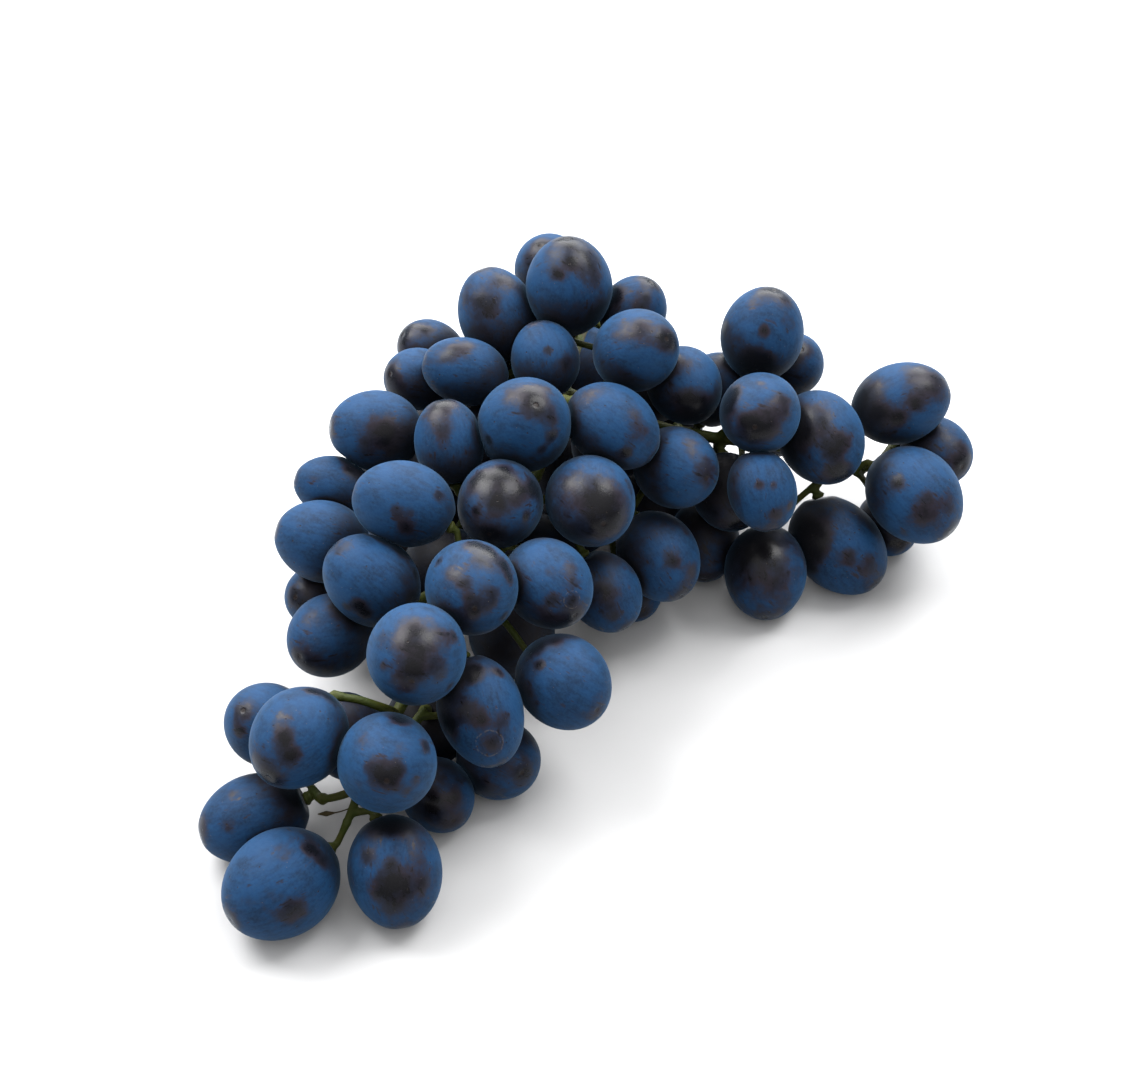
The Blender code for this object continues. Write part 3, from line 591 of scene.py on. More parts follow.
def settle(berries, lines, lying, joins, touching, steps):
    """Moves the berries, mostly along their sight lines, until none runs into another."""
    stiff, pull, soft_pull, along_share = 60.0, 0.02, 0.12, 0.2
    home, line, seen = berries["middle"].copy(), berries["line"], berries["seen"]
    first, second = np.triu_indices(len(home), 1)
    give = line[:, :, None] * line[:, None, :] * (1 - 1 / stiff) + np.eye(3) / stiff
    give[~seen] = np.eye(3)
    same = berries["spray"][first] == berries["spray"][second]
    pairs = list(zip(first.tolist(), second.tolist()))
    joined = np.array([pair in joins for pair in pairs])
    soft = np.array([pair in touching for pair in pairs]) & ~joined
    wanted = np.where(joined, PRESSED, np.where(same, PRESSED * UNJOINED_PRESS, APART))
    everyone = np.arange(len(home))
    upward = np.broadcast_to(UP, home.shape)

    def push(move, which, way, short, ease):
        given = np.einsum("kij,kj->ki", give[which], way)
        np.add.at(move, which, given * (0.5 * short / ease)[:, None])

    for step in range(steps):
        left = 1 - step / steps
        move = np.zeros_like(home)
        gap, way = pair_gaps(berries, first, second)
        short = wanted - gap
        loose = np.where(soft & (short < 0), soft_pull * left * short, np.maximum(short, 0))
        short = np.where(joined, short, loose)
        ease = np.einsum("ki,kij,kj->k", way, give[first] + give[second], way)
        push(move, first, -way, short, ease)
        push(move, second, way, short, ease)

        low = extent(berries, UP) - berries["middle"][:, 2]
        short = np.where(lying, low - SINK, np.maximum(low, 0))
        push(move, everyone, upward, short, give[:, 2, 2])

        for stalk, radius in lines:
            away = berries["middle"] - nearest_on([stalk], berries["middle"])
            far = length(away)
            way = away / far[:, None]
            short = np.maximum(extent(berries, way) + radius + STALK_ROOM - far, 0)
            push(move, everyone, way, short, np.einsum("ki,kij,kj->k", way, give, way))

        back = home - berries["middle"]
        along = (back * line).sum(1)[:, None] * line
        eased = (back - along) * pull + along * pull * along_share
        home_pull = np.where(seen[:, None], eased, back * pull)
        berries["middle"] = berries["middle"] + move + home_pull * left


def meets(start, ways, middle, axis, long, wide):
    """How far along each way from the start it meets a berry, or infinity."""
    start = start - middle
    squash = 1 / long**2 - 1 / wide**2
    lean, start_lean = (ways * axis).sum(-1), (axis * start).sum(-1)
    a = 1 / wide**2 + squash * lean**2
    b = (ways * start).sum(-1) / wide**2 + squash * lean * start_lean
    c = (start * start).sum(-1) / wide**2 + squash * start_lean**2 - 1
    inside = b * b - a * c
    return np.where(inside > 0, (-b - np.sqrt(np.maximum(inside, 0))) / a, np.inf)


def out_of_sight(seen, points):
    """Which points the berries already there hide from the viewer."""
    far = length(points - EYE)
    ways = (points - EYE) / far[:, None]
    hidden = np.zeros(len(points), bool)
    for middle, axis, long, wide in each(seen):
        hidden |= meets(EYE, ways, middle, axis, long, wide) < far
    return hidden


def thrown_darts(seen, lines):
    """Places for hidden berries: near the stalks, wholly hidden, and off the open spots."""
    draw = np.random.default_rng(HIDDEN_SEED)
    low, high = np.array(HIDDEN_FROM), np.array(HIDDEN_TO)
    middle = low + draw.random((HIDDEN_DARTS, 3)) * (high - low)
    least, most = HIDDEN_WIDTHS
    wide = (least + (most - least) * draw.random(HIDDEN_DARTS)) / 2
    least, more = HIDDEN_STRETCH
    long = wide * (least + more * draw.random(HIDDEN_DARTS))
    away = middle - nearest_on([line for line, _ in lines], middle)
    far = length(away)
    axis = unit(away / far[:, None] + draw.normal(size=middle.shape) * HIDDEN_LEAN)
    darts = {"middle": middle, "axis": axis, "line": unit(middle - EYE), "long": long, "wide": wide}
    darts["spray"] = np.zeros(HIDDEN_DARTS, int)
    darts["seen"] = np.zeros(HIDDEN_DARTS, bool)
    down = extent(darts, UP)
    near_floor = middle[:, 2] < down + HIDDEN_LANDING
    middle[near_floor, 2] = down[near_floor] - SINK
    darts = pick(darts, (far > wide + RACHIS_RADII[0]) & (far < HIDDEN_REACH))
    side, rise = across_sight(darts["line"])
    unseen = np.ones(len(side), bool)
    for turn in np.radians(np.arange(0, 360, RIM_STEP)):
        rim = side * math.cos(turn) + rise * math.sin(turn)
        unseen &= out_of_sight(seen, darts["middle"] + rim * darts["long"][:, None])
    for spot in OPEN_SPOTS:
        shape = (darts["middle"], darts["axis"], darts["long"] + 1, darts["wide"] + 1)
        unseen &= np.isinf(meets(EYE, sight(*spot), *shape))
    return pick(darts, unseen)


def add_hidden(berries, lines, joins):
    """Fills the back and the underside, each berry against one already there."""
    darts = thrown_darts(berries, lines)
    gap = np.full(len(darts["wide"]), np.inf)
    partner = np.zeros(len(gap), int)

    def note(number):
        new, _ = gap_between(pick(berries, number), darts)
        closer = new < gap
        gap[closer] = new[closer]
        partner[closer] = number

    for number in range(len(berries["wide"])):
        note(number)
    taken = np.zeros(len(SPRAYS), int)
    for _ in range(HIDDEN_MOST):
        score = np.abs(gap) + LOW_FIRST * darts["middle"][:, 2]
        score[gap < PRESSED] = np.inf
        score[taken[berries["spray"][partner]] >= HIDDEN_A_SPRAY] = np.inf
        best = int(score.argmin())
        if math.isinf(score[best]) or gap[best] > HIDDEN_GAP:
            break
        darts["spray"][best] = berries["spray"][partner[best]]
        taken[darts["spray"][best]] += 1
        joins.add((int(partner[best]), len(berries["wide"])))
        for key in berries:
            berries[key] = np.concatenate([berries[key], darts[key][best : best + 1]])
        note(len(berries["wide"]) - 1)


def main_stalks():
    """The middle line and the radii of each main stalk, and of those seen beside them."""
    stalks = [(RACHIS, RACHIS_RADII), (WING, WING_RADII)]
    stalks += [(line, SIDE_RADII) for line in (TAIL_SIDE, FORK_LEFT, FORK_DOWN)]
    return [(np.array(line, float), radii) for line, radii in stalks]


def place_berries():
    lines = [(line, radii[0]) for line, radii in main_stalks()]
    berries = seen_berries()
    lying = berries["middle"][:, 2] < LYING
    touching = touching_in_view(berries)
    own_spray = berries["spray"]
    berries["spray"] = np.arange(len(own_spray))
    settle(berries, lines, lying, set(), touching, ALONE_STEPS)
    berries["spray"] = own_spray
    first, second = np.triu_indices(len(own_spray), 1)
    gaps = dict(zip(zip(first.tolist(), second.tolist()), pair_gaps(berries, first, second)[0]))
    joins = set()
    for spray in range(len(SPRAYS)):
        joins |= shortest_joins(np.flatnonzero(own_spray == spray).tolist(), gaps)
    settle(berries, lines, lying, joins, touching, JOINED_STEPS)
    add_hidden(berries, lines, joins)
    lying = berries["middle"][:, 2] < extent(berries, UP) + JUST_LYING
    settle(berries, lines, lying, joins, touching, LAST_STEPS)
    return berries


# Growing the stalks


def runs_along(line):
    """How far along a line each of its points is."""
    return np.concatenate([[0], np.cumsum(length(np.diff(line, axis=0)))])


def evenly_along(line, spacing):
    line = np.array(line, float)
    runs = runs_along(line)
    at = np.linspace(0, runs[-1], max(2, int(math.ceil(runs[-1] / spacing)) + 1))
    return np.stack([np.interp(at, runs, line[:, k]) for k in range(3)], 1)


def rounded(line, rounds=3):
    """A line of points with its corners rounded, its ends kept."""
    line = np.array(line, float)
    for _ in range(rounds):
        cut = np.stack([line[:-1] * 0.75 + line[1:] * 0.25, line[:-1] * 0.25 + line[1:] * 0.75], 1)
        line = np.concatenate([line[:1], cut.reshape(-1, 3)[1:-1], line[-1:]])
    return line


class FreeSpace:
    """The space between the berries as small cells, and the shortest ways through it."""

    def __init__(self, berries, sources):
        self.low = berries["middle"].min(0) - SPACE_MARGIN
        self.low[2] = 1.0
        high = berries["middle"].max(0) + SPACE_MARGIN
        self.shape = tuple(np.ceil((high - self.low) / CELL).astype(int))
        axes = [self.low[k] + CELL * np.arange(self.shape[k]) for k in range(3)]
        grid = np.stack(np.meshgrid(*axes, indexing="ij"), -1)
        room = np.full(self.shape, 2 * OPEN_ROOM)
        for middle, axis, long, wide in each(berries):
            first = np.maximum((middle - long - OPEN_ROOM - self.low) / CELL, 0).astype(int)
            last = ((middle + long + OPEN_ROOM - self.low) / CELL).astype(int) + 1
            block = tuple(slice(a, b) for a, b in zip(first, last))
            own, _ = room_from(grid[block], middle, axis, long, wide)
            room[block] = np.minimum(room[block], own)
        wide, tight = np.maximum(room - WIDE_ROOM, 0), np.maximum(TIGHT_ROOM - room, 0)
        cost = 1 + WIDE_COST * wide + TIGHT_COST * tight
        cost[(room < PEDICEL + STALK_GAP) | (room > OPEN_ROOM)] = np.inf
        for side in (0, -1):
            cost[side] = np.inf
            cost[:, side] = np.inf
            cost[:, :, side] = np.inf
        self.cost = cost.ravel().tolist()
        self.grid = grid.reshape(-1, 3)
        row, slab = self.shape[2], self.shape[1] * self.shape[2]
        near = (-1, 0, 1)
        moves = [(i, j, k) for i in near for j in near for k in near if (i, j, k) != (0, 0, 0)]
        self.moves = [
            (i * slab + j * row + k, 0.5 * CELL * math.sqrt(i * i + j * j + k * k)) for i, j, k in moves
        ]
        self.way_length = {}
        self.before = {}
        self.spread([(0.0, int(cell)) for cell in np.unique(self.cells(sources))])

    def cells(self, points):
        index = np.round((points - self.low) / CELL).astype(int)
        index = np.clip(index, 1, np.array(self.shape) - 2)
        return np.ravel_multi_index(index.T, self.shape)

    def spread(self, starts):
        """Takes the ways on from new starting cells, as far as they are the shortest."""
        lengths, before, cost = self.way_length, self.before, self.cost
        queue = []
        for length, cell in starts:
            if length < lengths.get(cell, math.inf):
                lengths[cell] = length
                before[cell] = -1
                queue.append((length, cell))
        heapq.heapify(queue)
        while queue:
            length, here = heapq.heappop(queue)
            if length > lengths[here]:
                continue
            if length > FARTHEST_WAY:
                break
            own = min(cost[here], 1.0e3)
            for step, half in self.moves:
                there = here + step
                if cost[there] == math.inf:
                    continue
                new = length + half * (own + cost[there])
                if new < lengths.get(there, math.inf):
                    lengths[there] = new
                    before[there] = here
                    heapq.heappush(queue, (new, there))

    def way_to(self, cell):
        cells = [cell]
        while self.before[cells[-1]] >= 0:
            cells.append(self.before[cells[-1]])
        return cells[::-1]


def mouths_of(berries, number, space):
    """Where a berry's own stalk may leave it: round the end away from its blossom."""
    axis = -berries["axis"][number]
    side = np.cross(axis, UP + 0.1)
    side /= np.linalg.norm(side)
    other = np.cross(axis, side)
    ways, tilts = [axis], [0.0]
    for tilt in range(MOUTH_TILT, WIDEST_MOUTH + 1, MOUTH_TILT):
        for turn in range(0, 360, MOUTH_TURN):
            a, b = math.radians(tilt), math.radians(turn)
            ways.append(axis * math.cos(a) + (side * math.cos(b) + other * math.sin(b)) * math.sin(a))
            tilts.append(tilt)
    ways = np.array(ways)
    lean = ways @ axis
    long, wide = berries["long"][number], berries["wide"][number]
    skin = 1 / np.sqrt((1 - lean**2) / wide**2 + lean**2 / long**2)
    spots = berries["middle"][number] + ways * (skin + MOUTH)[:, None]
    return ways, skin, space.cells(spots), np.array(tilts)


def kept_clear(points, berries):
    """Pushes a stalk's points off the berries' skins."""
    for middle, axis, long, wide in each(berries):
        room, out = room_from(points, middle, axis, long, wide)
        points = points + out * np.maximum(PEDICEL + STALK_GAP - room, 0)[:, None]
    return points


def grow_stalks(berries, trunks):
    """One stalk to each berry, along the shortest free way from the stalks grown so far.

    Each is a dictionary of its points, the line of its tube, its berry, and its root:
    the stalk and the point of it where it begins, or None on the rachis.
    """
    space = FreeSpace(berries, np.concatenate(trunks))
    mouths = [mouths_of(berries, k, space) for k in range(len(berries["wide"]))]

    def best_mouth(number):
        _, _, cells, tilts = mouths[number]
        lengths = np.array([space.way_length.get(int(cell), np.inf) for cell in cells])
        score = lengths + TILT_COST * tilts
        return float(score.min()), int(score.argmin())

    waiting = sorted(range(len(mouths)), key=best_mouth)
    stalks, owner = [], {}
    while waiting:
        number = waiting.pop(0)
        score, chosen = best_mouth(number)
        if math.isinf(score):
            raise ValueError(f"berry {number} has no free way to the rachis")
        ways, skin, cells, _ = mouths[number]
        passed = space.way_to(int(cells[chosen]))
        middle, way = berries["middle"][number], ways[chosen]
        inner = space.grid[passed]
        root = owner.get(passed[0])
        if root is None:
            first = nearest_on(trunks, inner[:1])
        else:
            parent = stalks[root[0]]
            first = nearest_on([parent["line"]], parent["points"][root[1]][None])
        ends = np.array([middle + way * (skin[chosen] + reach) for reach in (MOUTH, TIP_GAP)])
        points = np.concatenate([first, inner[1:-1], ends])
        for _ in range(STRAIGHTENINGS):
            if len(points) > 3:
                middles = (points[:-3] + points[2:-1]) / 2
                points[1:-2] = kept_clear(points[1:-2] * 0.6 + middles * 0.4, berries)
        line = evenly_along(points[:-1], STALK_STEP)
        stalks.append({"points": points, "line": line, "root": root, "berry": number})
        starts = []
        for index, cell in enumerate(passed[1:-1], start=1):
            owner[cell] = (len(stalks) - 1, index)
            starts.append((SHARED_WAY * space.way_length[cell], cell))
        space.spread(starts)
    return stalks


# The fine berries


def ball_shape(cuts):
    """A unit ball of even four-sided faces, from a cut-up cube."""
    steps = np.tan(np.linspace(-1, 1, cuts + 1) * math.pi / 4)
    points, faces, known = [], [], {}
    for turned in range(3):
        for side in (-1, 1):
            patch = {}
            for i, u in enumerate(steps):
                for j, v in enumerate(steps):
                    corner = np.roll([side, u, v], turned)
                    key = tuple(np.round(corner, 6))
                    if key not in known:
                        known[key] = len(points)
                        points.append(corner / np.linalg.norm(corner))
                    patch[i, j] = known[key]
            for i in range(cuts):
                for j in range(cuts):
                    face = [patch[i, j], patch[i + 1, j], patch[i + 1, j + 1], patch[i, j + 1]]
                    faces.append(face if side > 0 else face[::-1])
    return np.array(points), faces


def frame_about(axis):
    side = np.cross(axis, ASKEW)
    side /= np.linalg.norm(side)
    return side, np.cross(axis, side)


def pressed_back(reach, limit):
    """Holds a reach softly below a limit, so that a skin lies flat against what presses it."""
    start = limit - SOFT_EDGE
    over = np.maximum(reach - start, 0)
    return np.where(reach > start, start + SOFT_EDGE * (1 - np.exp(-over / SOFT_EDGE)), reach)


def bump(distance, reach):
    return np.exp(-((distance / reach) ** 2))


def lumps(ball, draw):
    """A slow unevenness of the skin, about one in either way."""
    total = np.zeros(len(ball))
    for _ in range(LUMPS):
        way = draw.normal(size=3)
        total += np.sin(ball @ (way / np.linalg.norm(way)) * draw.uniform(2, 4.5) + draw.uniform(0, 6.3))
    return total / 2.2


def fine_berry(berries, number, ball, stalk_way, draw, near):
    """Points of one berry, the same from its blossom end, and how far each is from what is near."""
    middle, axis, long, wide = shape_of(berries, number)
    side, other = frame_about(axis)
    x, y, z = ball.T
    egg = 1 - EGG[0] * z - EGG[1] * z**2
    flat = wide * egg * draw.uniform(*WIDTH_RANGE)
    body = flat[:, None] * (x[:, None] * side + y[:, None] * other) + long * z[:, None] * axis
    out = unit(body)
    body += out * (lumps(ball, draw) * UNEVEN_SKIN)[:, None]
    lean = stalk_way @ axis
    skin = 1 / math.sqrt((1 - lean**2) / wide**2 + lean**2 / long**2)
    from_stalk = length(body - stalk_way * skin)
    from_blossom = length(body - axis * long)
    body -= out * (DIMPLE * bump(from_stalk, DIMPLE_REACH))[:, None]
    body += out * (SHOULDER * bump(from_stalk - SHOULDER_FROM, SHOULDER_REACH))[:, None]
    body -= out * (PIT * bump(from_blossom, PIT_REACH))[:, None]
    touched = np.zeros(len(body))
    for partner, gap, way in near:
        reach = body @ way
        limit = float(extent(pick(berries, number), way)) + gap / 2 - SKIN_GAP
        if gap < PRESSING:
            body -= way * (reach - pressed_back(reach, limit))[:, None]
        away, _ = room_from(middle + body, *shape_of(berries, partner))
        touched = np.maximum(touched, np.clip(1 - away / TOUCH_REACH, 0, 1))
    points = middle + body
    height = points[:, 2].copy()
    touched = np.maximum(touched, FLOOR_TOUCH * np.clip(1 - height / FLOOR_REACH, 0, 1))
    points[:, 2] = -pressed_back(-height, -SKIN_GAP / 2)
    local = np.stack([(points - middle) @ way for way in (side, other, axis)], 1)
    return points, local - [0, 0, long], from_stalk, touched


def neighbours(berries):
    """For each berry those next to it, with the gap and the way to them."""
    count = len(berries["wide"])
    near = [[] for _ in range(count)]
    first, second = np.triu_indices(count, 1)
    gaps, ways = pair_gaps(berries, first, second)
    for i, j, gap, way in zip(first, second, gaps, ways):
        if gap < NEAR:
            near[i].append((int(j), float(gap), way))
            near[j].append((int(i), float(gap), -way))
    return near


def in_picture(point):
    away = point - EYE
    depth = -(away @ BACKWARD)
    column = PICTURE_WIDTH / 2 + FOCAL * (away @ RIGHT) / depth
    return np.array([column, PICTURE_HEIGHT / 2 - FOCAL * (away @ UPWARD) / depth])


def on_berry(berries, number, drawn, spot):
    """Where a mark of the picture lies on its berry, which may have settled a little."""
    column, row = in_picture(berries["middle"][number]) + np.array(spot) - np.array(drawn)
    line = sight(column, row)
    far = float(meets(EYE, line, *shape_of(berries, number)))
    if math.isinf(far):
        far = float((berries["middle"][number] - EYE) @ line)
    return EYE + line * far


def looks_of_seen():
    """Of each berry seen: where it is in the picture, its marks, its ring, and its darkening, which is
    partly thinner bloom and partly painted shade.
    """
    looks = []
    for spray, seen in SPRAYS.items():
        for place, row in enumerate(seen):
            berry = (spray, place)
            looks.append((row[:2], MARKS.get(berry, ()), RINGS.get(berry), THINNED_AND_SHADED.get(berry, 0.0)))
    return looks


def painted_shade_of(berries, number, points):
    """Painted shade at each point of a skin: the share of what it faces that other berries take up or
    that lies below, more on hidden berries deep inside.
    """
    ways = unit(points - berries["middle"][number])
    open_share = np.ones(len(points))
    for other in range(len(berries["wide"])):
        if other != number:
            away = berries["middle"][other] - points
            far = length(away)
            facing = np.sum(away * ways, axis=1) / far
            size = (berries["wide"][other] / np.maximum(far, berries["wide"][other])) ** 2
            open_share *= 1 - np.clip(facing + FACING_FROM, 0, 1) * size
    painted_shade = 1 - open_share + BELOW_PAINTED_SHADE * np.clip(-BELOW_FROM - ways[:, 2], 0, 1)
    if not berries["seen"][number]:
        painted_shade = painted_shade + INNER_PAINTED_SHADE * np.clip((painted_shade.mean() - INNER_FROM) / INNER_RANGE, 0, 1)
    return np.clip(painted_shade, 0, 1)


def worn_layers(berries, number, points, tip, from_stalk, touched, draw):
    """How much bloom the ends, the neighbours and, on hidden berries, some patches each take off."""
    blossom = length(tip)
    own = draw.uniform(*SPOT_RANGE)
    layers = [strength * own * bump(blossom, reach) for strength, reach in (BLOSSOM_SPOT, BLOSSOM_HALO)]
    layers += [STALK_SPOT[0] * bump(from_stalk, STALK_SPOT[1]), TOUCH_WEAR * touched]
    if not berries["seen"][number]:
        for _ in range(HIDDEN_PATCHES):
            way = draw.normal(size=3)
            spot = berries["middle"][number] + berries["wide"][number] * way / np.linalg.norm(way)
            reach = draw.uniform(*PATCH_REACH)
            layers.append(draw.uniform(*PATCH_STRENGTH) * bump(length(points - spot), reach))
    return layers


def add_attribute(mesh, name, values):
    kind, field = ("FLOAT_VECTOR", "vector") if values.ndim == 2 else ("FLOAT", "value")
    made = mesh.attributes.new(name, kind, "POINT")
    made.data.foreach_set(field, np.ascontiguousarray(values, dtype=np.float32).ravel())


def joined(shapes):
    """The points and faces of several shapes as those of one."""
    faces, start = [], 0
    for points, own in shapes:
        faces += [[index + start for index in face] for face in own]
        start += len(points)
    return np.concatenate([points for points, _ in shapes]), faces


def in_scene(name, data):
    made = bpy.data.objects.new(name, data)
    bpy.context.scene.collection.objects.link(made)
    return made


def mesh_piece(name, shapes, shift):
    points, faces = joined(shapes)
    mesh = bpy.data.meshes.new(name)
    mesh.from_pydata([tuple(p) for p in points * MM + shift], [], faces)
    mesh.polygons.foreach_set("use_smooth", [True] * len(faces))
    return in_scene(name, mesh)


def skin_values(berries, number, points, tip, from_stalk, touched, draw):
    """What the skin's material reads at each point of a berry."""
    offset = draw.uniform(-OFFSET_REACH, OFFSET_REACH, 3)
    tone = draw.normal() * TONE_SPREAD
    layers = worn_layers(berries, number, points, tip, from_stalk, touched, draw)
    looks = looks_of_seen()
    drawn, marks, ring, thin_and_shade = looks[number] if number < len(looks) else UNMARKED
    for *spot, reach, strength in marks:
        spot = on_berry(berries, number, drawn, spot)
        layers.append(strength * bump(length(points - spot), reach))
    from_ring = np.full(points.shape, NO_RING)
    if ring:
        from_ring = (points - on_berry(berries, number, drawn, ring[:2])) / ring[2]
    return {
        "tip": tip,
        "offset": np.broadcast_to(offset, points.shape),
        "tone": np.full(len(points), tone),
        # rubbed marks and worn ends, plus a darkening of the whole berry that is partly thinner bloom
        # and partly painted shade
        "rubbed_and_shade": 1 - np.prod([1 - layer for layer in layers], axis=0) + thin_and_shade,
        "ring": from_ring,
        # painted shade from facing neighbours, from facing down and from lying deep inside
        "painted_shade": painted_shade_of(berries, number, points),
    }


def berry_pieces(berries, stalks, skin, shift):
    """One piece for each spray of berries, with what the skin's material reads."""
    draw = np.random.default_rng(LOOKS_SEED)
    near = neighbours(berries)
    balls = [ball_shape(HIDDEN_CUTS), ball_shape(SEEN_CUTS)]
    stalk_ways = {}
    for stalk in stalks:
        way = stalk["points"][-1] - berries["middle"][stalk["berry"]]
        stalk_ways[stalk["berry"]] = way / np.linalg.norm(way)
    gathered = {name: [] for name in SPRAYS}
    names = list(SPRAYS)
    for number, spray in enumerate(berries["spray"]):
        ball, faces = balls[int(berries["seen"][number])]
        points, *from_ends = fine_berry(berries, number, ball, stalk_ways[number], draw, near[number])
        values = skin_values(berries, number, points, *from_ends, draw)
        gathered[names[int(spray)]].append((points, faces, values))
    for name, group in gathered.items():
        made = mesh_piece("skin_" + name, [(points, faces) for points, faces, _ in group], shift)
        for key in group[0][2]:
            add_attribute(made.data, key, np.concatenate([values[key] for _, _, values in group]))
        made.data.materials.append(skin)
        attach(made, "root")
        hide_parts("berries_" + name)


# The fine stem


def tube(points, radii, sides):
    """A closed tube with flat ends through points, its rings square to its way."""
    ways = unit(np.gradient(points, axis=0))
    side = np.cross(ways[0], ASKEW)
    rings, faces = [], []
    turns = 2 * math.pi * np.arange(sides) / sides
    for point, way, radius in zip(points, ways, radii):
        side = side - (side @ way) * way
        side /= np.linalg.norm(side)
        other = np.cross(way, side)
        rings.append(point + radius * (np.cos(turns)[:, None] * side + np.sin(turns)[:, None] * other))
    for k in range(len(points) - 1):
        for s in range(sides):
            t = (s + 1) % sides
            faces.append([k * sides + s, k * sides + t, (k + 1) * sides + t, (k + 1) * sides + s])
    faces.append(list(range(sides))[::-1])
    faces.append([(len(points) - 1) * sides + s for s in range(sides)])
    return np.concatenate(rings), faces


def trunk_radii(radii, count):
    at = np.linspace(0, len(radii) - 1, count)
    return np.interp(at, np.arange(len(radii)), radii)


def uneven(radii, draw, share):
    """Radii with a slow unevenness, as grown wood has."""
    at = np.arange(len(radii))
    wave = np.zeros(len(radii))
    for _ in range(3):
        wave += np.sin(at * draw.uniform(0.25, 0.9) + draw.uniform(0, 6.3))
    return radii * (1 + share * wave / 2)


def downstream(stalks):
    """How many berries hang beyond each point of each stalk."""
    counts = [np.ones(len(stalk["points"])) for stalk in stalks]
    for stalk, count in reversed(list(zip(stalks, counts))):
        if stalk["root"] is not None:
            parent, index = stalk["root"]
            counts[parent][: index + 1] += count[0]
    return counts


def stalk_tubes(berries, stalks, draw):
    """Each stalk's line and radii: wider where more berries hang on it, and at its seat."""
    tubes = []
    for stalk, count in zip(stalks, downstream(stalks)):
        points = stalk["points"]
        room = np.min([room_from(points, *berry)[0] for berry in each(berries)], axis=0)
        thick = np.minimum(PEDICEL * count**PIPE_POWER, np.maximum(room - STALK_ROOM, PEDICEL))
        line = evenly_along(rounded(points[:-1], 2), FINE_STEP)
        runs = runs_along(points)
        radii = np.interp(np.linspace(0, runs[-2], len(line)), runs, thick)
        radii[:3] *= ROOT_FLARE[: len(radii[:3])]
        radii = uneven(radii, draw, STALK_UNEVEN)
        others = np.delete(np.arange(len(berries["wide"])), stalk["berry"])
        seat_room = min(float(room_from(points[-1], *b)[0]) for b in each(pick(berries, others)))
        seat = max(min(SEAT + SEAT_MORE, seat_room - SEAT_CLEAR), PEDICEL)
        way = points[-1] - points[-2]
        reach = np.linalg.norm(way)
        way /= reach
        ends = points[-2] + way * (np.array(SEAT_STEPS) * reach)[:, None]
        widths = [PEDICEL * NECK, PEDICEL * UPPER_NECK, seat * SEAT_RIM, seat, seat * CAP_WIDTH]
        line = np.concatenate([line, ends, [ends[-1] + way * SEAT_CAP]])
        tubes.append((line, np.concatenate([radii, widths])))
    return tubes


def stem_piece(berries, stalks, green, shift):
    """All stalks grown into one skin, with the places that its material reads."""
    draw = np.random.default_rng(LOOKS_SEED + 1)
    lines = []
    for line, radii in main_stalks():
        line = evenly_along(rounded(line), FINE_STEP)
        lines.append((line, uneven(trunk_radii(radii, len(line)), draw, TRUNK_UNEVEN)))
    peduncle = lines[0][1]
    peduncle[:KNOT_POINTS] *= 1 + KNOT * bump(np.arange(KNOT_POINTS) - KNOT_AT, KNOT_REACH)
    peduncle[0] *= CUT_FLARE
    lines += stalk_tubes(berries, stalks, draw)
    made = mesh_piece("stem_skin", [tube(line, radii, TUBE_SIDES) for line, radii in lines], shift)
    remesh = made.modifiers.new("grown_together", "REMESH")
    remesh.mode = "VOXEL"
    remesh.voxel_size = STEM_CELL * MM
    remesh.use_smooth_shade = True
    smooth = made.modifiers.new("evened", "SMOOTH")
    smooth.factor = 0.5
    smooth.iterations = 2
    graph = bpy.context.evaluated_depsgraph_get()
    grown = bpy.data.meshes.new_from_object(made.evaluated_get(graph))
    made.modifiers.clear()
    made.data = grown
    corner = np.empty(len(grown.vertices) * 3)
    grown.vertices.foreach_get("co", corner)
    corner = (corner.reshape(-1, 3) - shift) / MM
    tree = KDTree(sum(len(line) for line, _ in lines))
    sizes = []
    for line, radii in lines:
        for point, radius in zip(line, radii):
            tree.insert(Vector(point), len(sizes))
            sizes.append(radius)
    tree.balance()
    thick = np.array([sizes[tree.find(Vector(point))[1]] for point in corner])
    seats = np.array([stalk["points"][-1] for stalk in stalks])
    from_seat = length(corner[:, None] - seats).min(axis=1)
    from_cut = length(corner - np.array(RACHIS[0], float))
    add_attribute(grown, "thick", thick)
    add_attribute(grown, "seat", bump(from_seat, SEAT_REACH))
    add_attribute(grown, "cut", np.clip(1 - from_cut / CUT_REACH, 0, 1))
    add_attribute(grown, "place", corner)
    grown.materials.clear()
    grown.materials.append(green)
    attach(made, "root")
    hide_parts("stem")


def dried_piece(green, shift):
    """The dried florets and stem ends, each a thin tube with its own swelling."""
    shapes = []
    for line, radii in zip(DRIED, DRIED_RADII):
        spots = evenly_along(rounded(line, 2), DRIED_STEP)
        shapes.append(tube(spots, trunk_radii(radii, len(spots)), DRIED_SIDES))
    made = mesh_piece("dried_florets", shapes, shift)
    count = len(made.data.vertices)
    add_attribute(made.data, "thick", np.full(count, AS_OLD_WOOD))
    add_attribute(made.data, "cut", np.full(count, 1.0))
    add_attribute(made.data, "place", np.concatenate([points for points, _ in shapes]))
    made.data.materials.append(green)
    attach(made, "root")


# The materials


